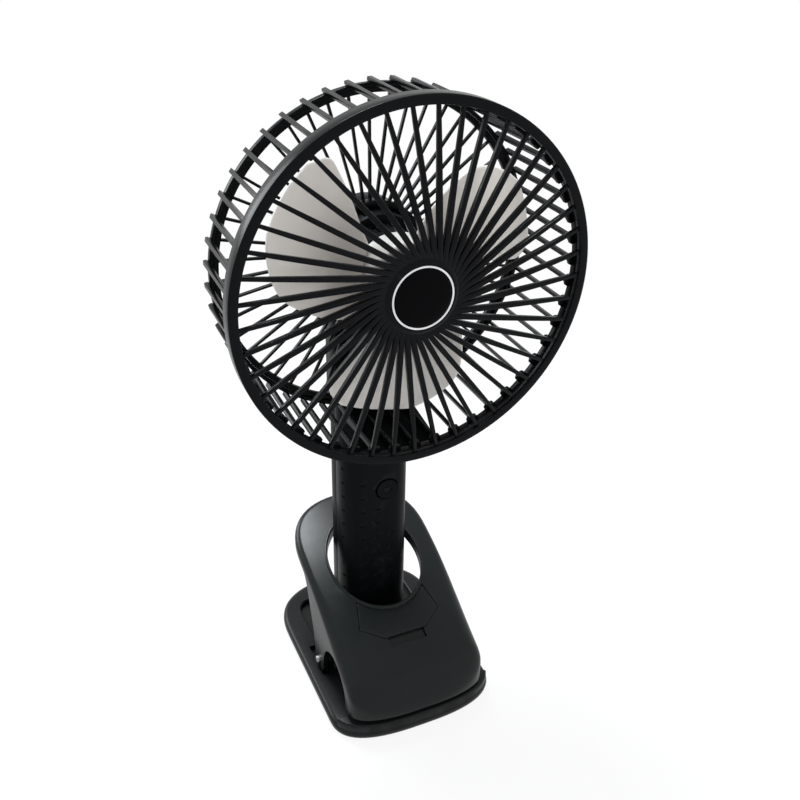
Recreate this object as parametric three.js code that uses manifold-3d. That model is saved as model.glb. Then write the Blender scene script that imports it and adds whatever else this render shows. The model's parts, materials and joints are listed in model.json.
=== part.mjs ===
// Clip fan: a battery fan whose handle stands in a spring clip.
//
// Millimetres, +Z up. The fan blows towards -Y and the clip opens towards -Y too.
// The origin is the middle of the underside.
//
// The clip is a flat tray (the lower jaw) and a sloping moulded shell (the upper jaw).
// The shell turns on a steel pin, and the handle passes through an oval hole in it.
// The head is a drum: radial rear spokes that turn the corner into side fins, and a
// front guard of straight spokes that all pass beside the axis instead of through it.

import * as THREE from 'three';
import { mergeVertices } from 'three/addons/utils/BufferGeometryUtils.js';
import Module from 'manifold-3d';

const wasm = await Module();
wasm.setup();

const DEGREE = Math.PI / 180;

// ---------------------------------------------------------------- driving dimensions

const GAP = 0.3; // clearance between neighbouring pieces
const CURVE_POINTS = 6; // points on each rounded corner of the clip's outlines
const SQUARENESS = 2.7; // exponent of those corners: 2 is an ellipse, more is squarer
const NOSE_SQUARENESS = 2.4; // the same for the way the shell's top rolls over at the front

const TRAY = {
  halfWidth: 41.4, front: -57, back: 56.5, // outline of the lower jaw
  frontCorner: 20, backCorner: 34, // length of the rounded stretch at each end
  bottom: 0.6, deck: 6.6, lip: 9.2, // heights: underside, flange, front lip
  lipDepth: 13, // how far the raised lip reaches back
};
const POCKET = { halfWidth: 30.5, front: -12, back: 42, floor: 3.6, corner: 7 };
const SOLE = { inset: 6, thickness: 1.5, recess: 1.8 };
const PAD = { halfWidth: 20, front: -52.6, back: -43.4, split: 9.85, thickness: 2.8 };

const HINGE = { y: -6, z: 11, pinRadius: 1.9, pinHalfLength: 36.3, lugRadius: 4.7 };
const LUG = { inner: 28.7, outer: 31.2 };

const JAW = {
  halfWidth: 34.8, front: -56.5, back: 48.5,
  frontCorner: 13, backCorner: 32,
  height: 53.3, slope: 0.39, sag: 0.00173, // z = height + slope y - sag y^2
  noseStart: -42, noseFoot: 14.3, // where the top rolls over, and how low it ends
  edge: 3.2, wall: 2.4, // rolled edge radius and wall thickness
  tailDepth: 6.4, // how deep the rim round the tail is
  lip: 12.3, // underside of the front edge
};
const EAR_RADIUS = 6; // of the shell's hinge ears round the pin

const HOLE = { y: 6.2, halfWidth: 23, halfLength: 25.8, lipWidth: 1.4, lipRise: 0.7, lipDepth: 4.6 };
const LID = {
  topHalf: 16.7, topY: -10, midHalf: 21, midY: -25.8, endHalf: 10.7, endY: -33.2,
  thickness: 1.6, pocketDepth: 7, ledge: 1.6, floor: 1.8, hingeY: -14,
};
const THUMB = { halfWidth: 9.5, length: 4.2, depth: 1.5 }; // scoop under the lid's edge

const HANDLE = {
  width: 34, depth: 26, corner: 9, wall: 2, // section
  y: 13, bottom: 7, fork: 123.4, // middle of the section, foot, bottom of the fork slot
  forkHalfGap: 10.2,
};
const SOCKET = { wall: 2, height: 16 }; // collar on the tray round the handle's foot
const BUTTON = { x: 4, z: 101, radius: 5.3, proud: 0.5, travel: 0.8 };
const CELL = { radius: 9.15, length: 65, bottom: 22 };

const TILT = { y: 13, z: 134, barrelRadius: 9.5, barrelHalf: 8.6, pinRadius: 2, shoulder: 13 };

const HEAD = { z: 217.7, face: -39 }; // drum axis, and the plane of the front rim
const DRUM = { radius: 75, rimInner: 71.2, finRadius: 72.3, ringRadius: 68.8, depth: 47.6 };
const SPOKES = { count: 45, offset: 7.45, first: 3.84, hubRadius: 16.1, dome: 1.6 };
const FINS = { count: 48, first: 1.75, thickness: 1.6, front: -5.5, tip: -45.2 };
const MOTOR = {
  housingRadius: 19.5, collarRadius: 15.7, collarFront: -28.6, // wide foot, narrower collar round the can
  canRadius: 12.5, shaftRadius: 1.5,
};
const IMPELLER = {
  hubRadius: 18.2, tipRadius: 58.6, front: -14, back: -28, bladeMiddle: -23.5, blades: 3, first: 116,
};
const ARM = { front: 11.5, back: 25, halfWidth: 17, headRadius: 22, bottom: 146, wall: 2.2, cover: 2.2 };
const COVER_SCREWS = [['top', 229], ['bottom', 164]]; // name and height of the cover's screws

// ---------------------------------------------------------------- materials

const finish = (colour, roughness, metalness = 0) =>
  new THREE.MeshStandardMaterial({ color: colour, roughness, metalness });

const FINISH = {
  blackPlastic: finish(0x23282b, 0.55),
  shellPlastic: finish(0x353b3f, 0.5),
  guardPlastic: finish(0x1b1f22, 0.45),
  glossBlack: finish(0x08090b, 0.12),
  bladePlastic: finish(0xb4b3ac, 0.55),
  rubber: finish(0x141414, 0.85),
  steel: finish(0xb5b8ba, 0.3, 1),
  springSteel: finish(0x9a9da0, 0.35, 1),
  chrome: finish(0xd8dadc, 0.12, 1),
  board: finish(0x1f5a38, 0.6),
  cellWrap: finish(0x2f6fa8, 0.5),
  bushBrown: finish(0x6b5138, 0.7),
};

// ---------------------------------------------------------------- solids and shapes

/** A closed geometry as a solid that can be cut and joined. */
function solidOf(geometry) {
  const plain = geometry.clone();
  for (const name of Object.keys(plain.attributes)) {
    if (name !== 'position') plain.deleteAttribute(name);
  }
  const merged = mergeVertices(plain, 1e-4);
  return new wasm.Manifold(new wasm.Mesh({
    numProp: 3,
    vertProperties: new Float32Array(merged.attributes.position.array),
    triVerts: new Uint32Array(merged.index.array),
  }));
}

/** The other way round: a solid as a geometry with flat facets. */
function geometryOf(solid) {
  const mesh = solid.getMesh();
  const indexed = new THREE.BufferGeometry();
  indexed.setAttribute('position', new THREE.BufferAttribute(mesh.vertProperties, 3));
  indexed.setIndex(new THREE.BufferAttribute(mesh.triVerts, 1));
  const geometry = indexed.toNonIndexed();
  geometry.computeVertexNormals();
  return geometry;
}

const join = (first, ...others) => others.reduce((sum, next) => sum.add(next), first);
const cut = (first, ...others) => others.reduce((rest, next) => rest.subtract(next), first);

/** Box between two corners. */
function block(x0, x1, y0, y1, z0, z1) {
  const box = new THREE.BoxGeometry(x1 - x0, y1 - y0, z1 - z0);
  return solidOf(box.translate((x0 + x1) / 2, (y0 + y1) / 2, (z0 + z1) / 2));
}

/** Round bar along an axis, from one place on it to another. */
function bar(axis, radius, from, to, [x, y, z], sides = 20) {
  const rod = new THREE.CylinderGeometry(radius, radius, to - from, sides);
  rod.translate(0, (from + to) / 2, 0);
  if (axis === 'x') rod.rotateZ(-Math.PI / 2);
  if (axis === 'z') rod.rotateX(Math.PI / 2);
  return solidOf(rod.translate(x, y, z));
}

/** Outline in X and Y, raised from z0 to z1, with a bevel where one is asked for. */
function slab(shape, z0, z1, bevel = 0, curveSegments = 6) {
  const plate = new THREE.ExtrudeGeometry(shape, {
    depth: z1 - z0 - 2 * bevel,
    bevelEnabled: bevel > 0,
    bevelThickness: bevel,
    bevelSize: bevel,
    bevelOffset: -bevel,
    bevelSegments: 2,
    curveSegments,
  });
  return plate.translate(0, 0, z0 + bevel);
}

const LYING_ALONG_X = new THREE.Matrix4().makeBasis(
  new THREE.Vector3(0, 1, 0), new THREE.Vector3(0, 0, 1), new THREE.Vector3(1, 0, 0),
);
const LYING_ALONG_Y = new THREE.Matrix4().makeBasis(
  new THREE.Vector3(-1, 0, 0), new THREE.Vector3(0, 0, 1), new THREE.Vector3(0, 1, 0),
);

/** Side outline, given in Y and Z, drawn out across X. */
function acrossX(points, x0, x1) {
  const shape = new THREE.Shape(points.map(([y, z]) => new THREE.Vector2(y, z)));
  return solidOf(slab(shape, x0, x1).applyMatrix4(LYING_ALONG_X));
}

/** Front outline, given in X and Z, drawn out along Y. */
function alongY(shape, y0, y1, bevel = 0, curveSegments = 6) {
  return solidOf(slab(shape, y0, y1, bevel, curveSegments).applyMatrix4(LYING_ALONG_Y));
}

/** Closed profile of [radius, height] points turned round the Z axis. */
function turned(profile, segments) {
  const closed = profile[0][0] === 0 ? profile : [...profile, profile[0]];
  const lathe = new THREE.LatheGeometry(closed.map(([r, z]) => new THREE.Vector2(r, z)), segments);
  return solidOf(lathe.rotateX(Math.PI / 2));
}

function roundedRectangle(width, depth, corner, centreY = 0) {
  const [x, y] = [width / 2, depth / 2];
  const shape = new THREE.Shape();
  shape.absarc(x - corner, centreY - y + corner, corner, -Math.PI / 2, 0);
  shape.absarc(x - corner, centreY + y - corner, corner, 0, Math.PI / 2);
  shape.absarc(-x + corner, centreY + y - corner, corner, Math.PI / 2, Math.PI);
  shape.absarc(-x + corner, centreY - y + corner, corner, Math.PI, 1.5 * Math.PI);
  return shape;
}

function ellipse(halfWidth, halfLength, centreY, points = 40) {
  const curve = new THREE.EllipseCurve(0, centreY, halfWidth, halfLength);
  return new THREE.Shape(curve.getPoints(points).slice(0, -1));
}

// ---------------------------------------------------------------- outlines of the clip

/**
 * Right-hand side of a clip outline, from the middle of the back round to the middle of
 * the front, drawn in by `inset`. The left-hand side is its mirror image.
 */
function rightSide(part, inset, straightPoints = 5) {
  const width = part.halfWidth - inset;
  const backStart = part.back - part.backCorner;
  const frontStart = part.front + part.frontCorner;
  const points = [];
  const corner = (angle, start, length) => points.push([
    width * Math.cos(angle) ** (2 / SQUARENESS),
    start + length * Math.sin(angle) ** (2 / SQUARENESS),
  ]);
  for (let step = CURVE_POINTS; step > 0; step--) {
    corner((step / CURVE_POINTS) * Math.PI / 2, backStart, part.backCorner - inset);
  }
  for (let step = 0; step <= straightPoints; step++) {
    points.push([width, THREE.MathUtils.lerp(backStart, frontStart, step / straightPoints)]);
  }
  for (let step = 1; step <= CURVE_POINTS; step++) {
    corner((step / CURVE_POINTS) * Math.PI / 2, frontStart, inset - part.frontCorner);
  }
  points[0][0] = 0;
  points[points.length - 1][0] = 0;
  return points;
}

/**
 * Solid whose horizontal outline shrinks from ring to ring. Each ring is an inset and a
 * height, which may depend on y. Top and bottom are closed by strips from side to side.
 */
function shrinkingSolid(part, rings) {
  const positions = [];
  const index = [];
  const half = rightSide(part, 0).length;
  const ringSize = 2 * half - 2;
  for (const { inset, height } of rings) {
    const right = rightSide(part, inset);
    const left = right.slice(1, -1).reverse().map(([x, y]) => [-x, y]);
    for (const [x, y] of [...right, ...left]) positions.push(x, y, height(y));
  }
  const at = (ring, place) => ring * ringSize + (place % ringSize);
  for (let ring = 0; ring + 1 < rings.length; ring++) {
    for (let place = 0; place < ringSize; place++) {
      index.push(at(ring, place), at(ring + 1, place), at(ring, place + 1));
      index.push(at(ring, place + 1), at(ring + 1, place), at(ring + 1, place + 1));
    }
  }
  const close = (ring, upwards) => {
    const triangle = (a, b, c) => index.push(...(upwards ? [a, c, b] : [a, b, c]));
    for (let row = 0; row + 1 < half; row++) {
      const [right, left] = [at(ring, row), at(ring, ringSize - row)];
      const [nextRight, nextLeft] = [at(ring, row + 1), at(ring, ringSize - row - 1)];
      if (row > 0) triangle(right, nextRight, left);
      if (row === 0) triangle(right, nextRight, nextLeft);
      else if (row + 2 < half) triangle(left, nextRight, nextLeft);
    }
  };
  close(0, false);
  close(rings.length - 1, true);
  const geometry = new THREE.BufferGeometry();
  geometry.setAttribute('position', new THREE.Float32BufferAttribute(positions, 3));
  geometry.setIndex(index);
  return solidOf(geometry);
}

const level = (inset, z) => ({ inset, height: () => z });

// ---------------------------------------------------------------- lower jaw

function trayBody() {
  const { bottom, deck } = TRAY;
  return shrinkingSolid(TRAY, [
    level(1.6, bottom), level(0.2, bottom + 1.4), level(0, bottom + 3),
    level(0.9, deck - 1.1), level(3.2, deck),
  ]);
}

/** The raised lip that the rubber pad sits in. */
function trayLip() {
  const whole = shrinkingSolid(TRAY, [
    level(0.4, TRAY.deck - 2), level(0.8, TRAY.lip - 0.9), level(2, TRAY.lip),
  ]);
  return whole.intersect(block(-50, 50, TRAY.front - 1, TRAY.front + TRAY.lipDepth, 0, 20));
}

function hingeLug(side) {
  const points = [[HINGE.y + HINGE.lugRadius, POCKET.floor - 0.5]];
  for (let step = 0; step <= 8; step++) {
    const angle = (step / 8) * Math.PI;
    points.push([
      HINGE.y + HINGE.lugRadius * Math.cos(angle), HINGE.z + HINGE.lugRadius * Math.sin(angle),
    ]);
  }
  points.push([HINGE.y - HINGE.lugRadius, POCKET.floor - 0.5]);
  return acrossX(points, Math.min(side * LUG.inner, side * LUG.outer),
    Math.max(side * LUG.inner, side * LUG.outer));
}

function baseTray() {
  const pocketLength = POCKET.back - POCKET.front;
  const pocketMiddle = (POCKET.back + POCKET.front) / 2;
  const pocket = solidOf(slab(
    roundedRectangle(2 * POCKET.halfWidth, pocketLength, POCKET.corner, pocketMiddle),
    POCKET.floor, 30,
  ));
  const footFloor = HANDLE.bottom - GAP;
  const footArea = roundedRectangle(
    HANDLE.width + 2 * SOCKET.wall, HANDLE.depth + 2 * SOCKET.wall,
    HANDLE.corner + SOCKET.wall, HANDLE.y,
  );
  const footHole = roundedRectangle(
    HANDLE.width + 2 * GAP, HANDLE.depth + 2 * GAP, HANDLE.corner + GAP, HANDLE.y,
  );
  const socket = cut(
    solidOf(slab(footArea, POCKET.floor - 1, SOCKET.height)),
    solidOf(slab(footHole, footFloor, 30)),
  );
  const soleRecess = shrinkingSolid(TRAY, [level(SOLE.inset - GAP, -1), level(SOLE.inset - GAP, SOLE.recess)]);
  const padSeat = block(-PAD.halfWidth - GAP, PAD.halfWidth + GAP,
    PAD.front - GAP, PAD.back + GAP, PAD.split - PAD.thickness - GAP, 30);
  // a rectangular notch in each flange lets the shell's hinge ear reach the pin
  const earNotch = (side) => {
    const [near, far] = [JAW.halfWidth - JAW.wall - 2 * GAP, JAW.halfWidth + 2 * GAP];
    return block(Math.min(side * near, side * far), Math.max(side * near, side * far),
      HINGE.y - EAR_RADIUS - 1, HINGE.y + EAR_RADIUS + 8, 4.2, 30);
  };
  // the pin's ends lie in an open groove across the flange
  const pinGroove = bar('x', HINGE.pinRadius + 0.6, -45, 45, [0, HINGE.y, HINGE.z], 16);
  const screwHoles = [-1, 1].map((side) => [
    bar('z', 1.8, -1, 12, [side * FOOT_SCREW_X, HANDLE.y, 0], 12),
    bar('z', 3.3, -1, 4.6, [side * FOOT_SCREW_X, HANDLE.y, 0], 16),
  ]).flat();
  const body = join(cut(join(trayBody(), trayLip()), pocket), socket, hingeLug(-1), hingeLug(1));
  return cut(body, soleRecess, padSeat, earNotch(-1), earNotch(1), pinGroove, ...screwHoles);
}

const FOOT_SCREW_X = 9;

function solePad() {
  return shrinkingSolid(TRAY, [level(SOLE.inset, 0), level(SOLE.inset, SOLE.thickness)]);
}

/** One of the two rubber pads at the mouth, with a row of grip ribs on its gripping face. */
function jawPad(z0, z1, grooveZ) {
  const pad = block(-PAD.halfWidth, PAD.halfWidth, PAD.front, PAD.back, z0, z1);
  const grooves = [];
  for (let y = PAD.front + 2.2; y < PAD.back - 1; y += 2.4) {
    grooves.push(block(-50, 50, y, y + 0.8, grooveZ - 0.4, grooveZ + 0.4));
  }
  return cut(pad, ...grooves);
}

// ---------------------------------------------------------------- upper jaw

/** Height of the shell's top face. It rolls over at the nose. */
function jawTop(y) {
  const top = JAW.height + JAW.slope * y - JAW.sag * y * y;
  if (y > JAW.noseStart) return top;
  const along = Math.min((JAW.noseStart - y) / (JAW.noseStart - JAW.front), 1);
  return JAW.noseFoot + (top - JAW.noseFoot) * (1 - along ** NOSE_SQUARENESS) ** (1 / NOSE_SQUARENESS);
}

/** The shell's outer form, or its hollow when `wall` is given. */
function jawForm(wall, foot) {
  const roll = [0, 30, 60, 90].map((angle) => {
    const radius = JAW.edge - wall * 0.6;
    return {
      inset: wall + radius * (1 - Math.cos(angle * DEGREE)),
      height: (y) => jawTop(y) - wall - radius * (1 - Math.sin(angle * DEGREE))
        * Math.min(1, (jawTop(y) - JAW.noseFoot + 4) / 12),
    };
  });
  return shrinkingSolid(JAW, [level(wall, foot), ...roll]);
}

/** Layer that follows the top face, from `above` it to `below` it. */
function underTop(above, below, y0, y1, halfWidth) {
  const steps = 12;
  const along = Array.from({ length: steps + 1 }, (_, step) => THREE.MathUtils.lerp(y0, y1, step / steps));
  const upper = along.map((y) => [y, jawTop(y) + above]);
  const lower = along.map((y) => [y, jawTop(y) - below]);
  return acrossX([...lower, ...upper.reverse()], -halfWidth, halfWidth);
}

/** What lies under the shell's lower edge: tail, hinge ear, side arch and front lip. */
function underJaw() {
  const points = [];
  for (let y = 62; y >= 14; y -= 8) points.push([y, jawTop(y) - JAW.tailDepth]);
  points.push([9.5, 47], [5.5, 36], [1.5, 24]);
  for (let angle = 15; angle >= -195; angle -= 30) {
    points.push([
      HINGE.y + EAR_RADIUS * Math.cos(angle * DEGREE), HINGE.z + EAR_RADIUS * Math.sin(angle * DEGREE),
    ]);
  }
  const arch = { y: -27.3, z: 14, halfLength: 15, height: 16.8 };
  for (let angle = 20; angle <= 180; angle += 20) {
    points.push([
      arch.y + arch.halfLength * Math.cos(angle * DEGREE),
      arch.z + arch.height * Math.sin(angle * DEGREE),
    ]);
  }
  points.push([-42.3, JAW.lip], [-62, JAW.lip], [-62, -12], [62, -12]);
  return acrossX(points.reverse(), -50, 50);
}

function lidOutline(grow) {
  const { topHalf, topY, midHalf, midY, endHalf, endY } = LID;
  const side = [[topHalf + grow, topY], [midHalf + grow, midY], [endHalf + grow * 0.6, endY - grow]];
  return new THREE.Shape([
    ...side.map(([x, y]) => new THREE.Vector2(x, y)).reverse(),
    ...side.map(([x, y]) => new THREE.Vector2(-x, y)),
  ].reverse());
}

/** The lid's place in the top face: the hexagon less the oval lip, between two depths. */
function lidRegion(grow, above, below) {
  const hexagon = solidOf(slab(lidOutline(grow), 0, 80));
  const lip = HOLE.lipWidth + 0.4 - grow;
  const oval = solidOf(slab(ellipse(HOLE.halfWidth + lip, HOLE.halfLength + lip, HOLE.y), -5, 90));
  return cut(hexagon, oval).intersect(underTop(above, below, -45, 0, 40));
}

function upperJawShell() {
  const hollowed = cut(jawForm(0, -3), jawForm(JAW.wall, -6));
  const [wide, long] = [HOLE.halfWidth, HOLE.halfLength];
  const hole = solidOf(slab(ellipse(wide, long, HOLE.y), -5, 90));
  const lip = cut(
    solidOf(slab(ellipse(wide + HOLE.lipWidth, long + HOLE.lipWidth, HOLE.y), 0, 90)), hole,
  ).intersect(underTop(HOLE.lipRise, HOLE.lipDepth, -28, 40, 40));
  // a pocket under the lid, open at the top
  const pocketWalls = lidRegion(1.6, -1, LID.pocketDepth + LID.floor);
  const seat = lidRegion(0, 6, LID.thickness + GAP);
  const pocket = lidRegion(-LID.ledge, 6, LID.pocketDepth);
  const thumb = block(-THUMB.halfWidth, THUMB.halfWidth, LID.endY - THUMB.length, LID.endY + 1, 0, 80)
    .intersect(underTop(6, THUMB.depth, -45, -25, 40));
  // the floor behind the nose that carries the rubber pad
  const padBed = jawForm(JAW.wall - 0.5, -6).intersect(
    block(-50, 50, -70, PAD.back + 1.4, PAD.split + PAD.thickness + GAP, PAD.split + PAD.thickness + 2.4),
  );
  const ribs = [-1, 1].map((side) => jawForm(JAW.wall - 0.5, -6).intersect(
    block(side * 26 - 1, side * 26 + 1, -48, -14, 0, 60),
  ));
  const shell = join(cut(hollowed, hole), lip, pocketWalls, padBed, ...ribs);
  const padSeat = block(-PAD.halfWidth - GAP, PAD.halfWidth + GAP, PAD.front - GAP, PAD.back + GAP,
    0, PAD.split + PAD.thickness + GAP);
  const pinHole = bar('x', HINGE.pinRadius + GAP, -45, 45, [0, HINGE.y, HINGE.z], 16);
  return cut(shell, underJaw(), padSeat, seat, pocket, thumb, pinHole);
}

/** The lid ends in a straight edge at its film hinge, just before the oval lip. */
function compartmentLid() {
  return lidRegion(-GAP, 0, LID.thickness).intersect(block(-30, 30, -50, LID.hingeY - 0.2, 20, 60));
}

/**
 * Torsion spring: a straight leg along the tray, turns round the hinge pin, and a
 * straight leg up to the shell, as one unbroken tube.
 */
function torsionSpring(side) {
  const { turns, wire, coil, pitch, steps, sides, start } = SPRING;
  const centre = [];
  const legDown = new THREE.Vector3(0, 1, 0);
  const first = -90 * DEGREE; // the lower leg leaves the coil along +Y at its foot
  const total = turns * 360 * DEGREE + SPRING.lastTurn * DEGREE;
  const onCoil = (angle) => new THREE.Vector3(
    side * (start + (pitch * angle) / (2 * Math.PI)),
    HINGE.y + coil * Math.cos(first - angle),
    HINGE.z + coil * Math.sin(first - angle),
  );
  for (let step = 3; step >= 1; step--) {
    centre.push(onCoil(0).addScaledVector(legDown, (SPRING.lowerLeg * step) / 3));
  }
  const stepCount = Math.round((total / (2 * Math.PI)) * steps);
  for (let step = 0; step <= stepCount; step++) centre.push(onCoil((total * step) / stepCount));
  const end = onCoil(total);
  const along = end.clone().sub(onCoil(total - 0.01)).setX(0).normalize();
  for (let step = 1; step <= 3; step++) {
    centre.push(end.clone().addScaledVector(along, (SPRING.upperLeg * step) / 3));
  }
  report(`spring gap to itself: ${leastGap(centre, wire).toFixed(2)} mm`);
  return tube(centre, wire, sides);
}

const SPRING = {
  turns: 3, lastTurn: 125, wire: 0.8, coil: 3.3, pitch: 2.1, steps: 8, sides: 5,
  start: 20.4, lowerLeg: 22, upperLeg: 26,
};

/** Tube of the given radius round a list of points, closed at both ends. */
function tube(centre, radius, sides) {
  const positions = [];
  const index = [];
  let normal = new THREE.Vector3(1, 0, 0);
  centre.forEach((point, place) => {
    const before = centre[Math.max(place - 1, 0)];
    const after = centre[Math.min(place + 1, centre.length - 1)];
    const direction = after.clone().sub(before).normalize();
    normal = normal.clone().addScaledVector(direction, -normal.dot(direction)).normalize();
    const across = direction.clone().cross(normal);
    for (let corner = 0; corner < sides; corner++) {
      const angle = (corner / sides) * 2 * Math.PI;
      const offset = normal.clone().multiplyScalar(radius * Math.cos(angle))
        .addScaledVector(across, radius * Math.sin(angle));
      positions.push(...point.clone().add(offset).toArray());
    }
  });
  const at = (ring, corner) => ring * sides + (corner % sides);
  for (let ring = 0; ring + 1 < centre.length; ring++) {
    for (let corner = 0; corner < sides; corner++) {
      index.push(at(ring, corner), at(ring, corner + 1), at(ring + 1, corner));
      index.push(at(ring, corner + 1), at(ring + 1, corner + 1), at(ring + 1, corner));
    }
  }
  const last = centre.length - 1;
  for (let corner = 1; corner + 1 < sides; corner++) {
    index.push(at(0, 0), at(0, corner + 1), at(0, corner));
    index.push(at(last, 0), at(last, corner), at(last, corner + 1));
  }
  const geometry = new THREE.BufferGeometry();
  geometry.setAttribute('position', new THREE.Float32BufferAttribute(positions, 3));
  geometry.setIndex(index);
  return solidOf(geometry);
}

/** Least distance between the surfaces of a tube's separate stretches. */
function leastGap(centre, radius) {
  const fine = [];
  for (let place = 0; place + 1 < centre.length; place++) {
    for (let part = 0; part < 6; part++) fine.push(centre[place].clone().lerp(centre[place + 1], part / 6));
  }
  let least = Infinity;
  for (let first = 0; first < fine.length; first++) {
    let walked = 0;
    for (let second = first + 1; second < fine.length; second++) {
      walked += fine[second].distanceTo(fine[second - 1]);
      if (walked > 6 * radius) least = Math.min(least, fine[first].distanceTo(fine[second]) - 2 * radius);
    }
  }
  return least;
}

const report = (line) => console.log(line);

// ---------------------------------------------------------------- handle

/** The handle as one solid, outside only, with its rounded fork at the top. */
function handleOutside() {
  const { width, depth, corner, y, bottom } = HANDLE;
  const side = [[0, bottom], [depth, bottom]];
  for (let angle = 0; angle <= 180; angle += 15) {
    side.push([
      TILT.y + TILT.shoulder * Math.cos(angle * DEGREE), TILT.z + TILT.shoulder * Math.sin(angle * DEGREE),
    ]);
  }
  const column = solidOf(slab(roundedRectangle(width, depth, corner, y), bottom, 150, 0, 5));
  return column.intersect(acrossX(side, -20, 20));
}

/** Front or back half of the handle, with its hollow, bosses and openings. */
function handleShell(part) {
  const { width, depth, corner, wall, y, bottom, fork } = HANDLE;
  const hollow = solidOf(slab(
    roundedRectangle(width - 2 * wall, depth - 2 * wall, corner - wall, y), bottom - 1, fork - 2, 0, 4,
  ));
  const slot = block(-HANDLE.forkHalfGap, HANDLE.forkHalfGap, -5, 35, fork, 160);
  const pinBore = bar('x', TILT.pinRadius + GAP, -14.6, 14.6, [0, TILT.y, TILT.z], 14);
  const bosses = HANDLE_SCREWS.map(([x, z]) => bar('y', 2.7, 0.6, depth - 0.6, [x, 0, z], 12)
    .intersect(solidOf(slab(roundedRectangle(width - 1, depth - 1, corner, y), 0, 150))));
  const bores = HANDLE_SCREWS.map(([x, z]) => join(
    bar('y', 1.25, 4, 30, [x, 0, z], 10), bar('y', SCREW_WELL.radius, SCREW_WELL.floor, 30, [x, 0, z], 14),
  ));
  const whole = cut(join(cut(handleOutside(), hollow), ...bosses), slot, pinBore, ...bores);
  if (part === 'front') {
    const buttonHole = bar('y', BUTTON.radius + GAP, -5, wall + 3, [BUTTON.x, 0, BUTTON.z], 28);
    return cut(whole, buttonHole).intersect(block(-30, 30, -5, y - GAP / 2, 0, 160));
  }
  const portHole = solidOf(slab(roundedRectangle(9.6, 3.8, 1.8, 0), -2, 6))
    .rotate([90, 0, 0]).translate([0, depth + 2, PORT_Z]);
  return cut(whole, portHole).intersect(block(-30, 30, y + GAP / 2, 35, 0, 160));
}

const HANDLE_SCREWS = [[-12.4, 40], [12.4, 40], [-12.4, 112], [12.4, 112]];
const SCREW_WELL = { radius: 2.3, floor: 21.4 }; // sunk far enough for the rounded corners
const PORT_Z = 96;

function footBlock() {
  const { width, depth, corner, wall, y, bottom } = HANDLE;
  const inner = roundedRectangle(
    width - 2 * wall - 2 * GAP, depth - 2 * wall - 2 * GAP, corner - wall - GAP, y,
  );
  const bores = [-1, 1].map((side) => bar('z', 1.55, 0, 17, [side * FOOT_SCREW_X, y, 0], 10));
  return cut(solidOf(slab(inner, bottom, 20, 0, 3)), ...bores);
}

/** Pan-head screw along an axis: head first, then shank. `out` is where the head faces. */
function screw(axis, headAt, out, length, place, headRadius = 2.3, shankRadius = 1) {
  const headDepth = 1.5;
  const recess = 0.7;
  const inwards = -out;
  const range = (from, to) => [Math.min(from, to), Math.max(from, to)];
  const head = bar(axis, headRadius, ...range(headAt, headAt + inwards * headDepth), place, 10);
  const shank = bar(axis, shankRadius,
    ...range(headAt + inwards * headDepth * 0.5, headAt + inwards * (headDepth + length)), place, 6);
  const drive = bar(axis, headRadius * 0.42, ...range(headAt + out, headAt + inwards * recess), place, 4);
  return cut(join(head, shank), drive);
}

function powerButton() {
  const { x, z, radius, proud } = BUTTON;
  const cap = bar('y', radius, -proud, 1.9, [x, 0, z], 28);
  const flange = bar('y', radius + 1, 2 + GAP, 3.1, [x, 0, z], 20)
    .intersect(block(-20, x + radius, 0, 9, z - 9, z + 9));
  const stem = bar('y', 1.6, 1.5, 4, [x, 0, z], 10);
  const neck = bar('y', radius - 0.3, 1.5, 2.6, [x, 0, z], 20);
  return join(cap, neck, flange, stem);
}

function batteryCell() {
  const { radius, length, bottom } = CELL;
  const cell = turned([
    [0, bottom], [radius - 0.8, bottom], [radius, bottom + 0.8], [radius, bottom + length - 1.6],
    [radius - 0.8, bottom + length - 0.8], [3.2, bottom + length - 0.8], [3.2, bottom + length],
    [0, bottom + length],
  ], 18);
  return cell.translate([0, HANDLE.y, 0]);
}

// ---------------------------------------------------------------- tilt joint and carrier

/** Keyhole outline of the arm behind the drum, drawn in by `inset`. */
function armOutline(inset, bottom) {
  const [halfWidth, radius] = [ARM.halfWidth - inset, ARM.headRadius - inset];
  const turnOff = Math.acos(halfWidth / radius);
  const outline = new THREE.Shape();
  outline.moveTo(-halfWidth, bottom);
  outline.lineTo(halfWidth, bottom);
  outline.absarc(0, HEAD.z, radius, -turnOff, Math.PI + turnOff);
  return outline;
}

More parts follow.
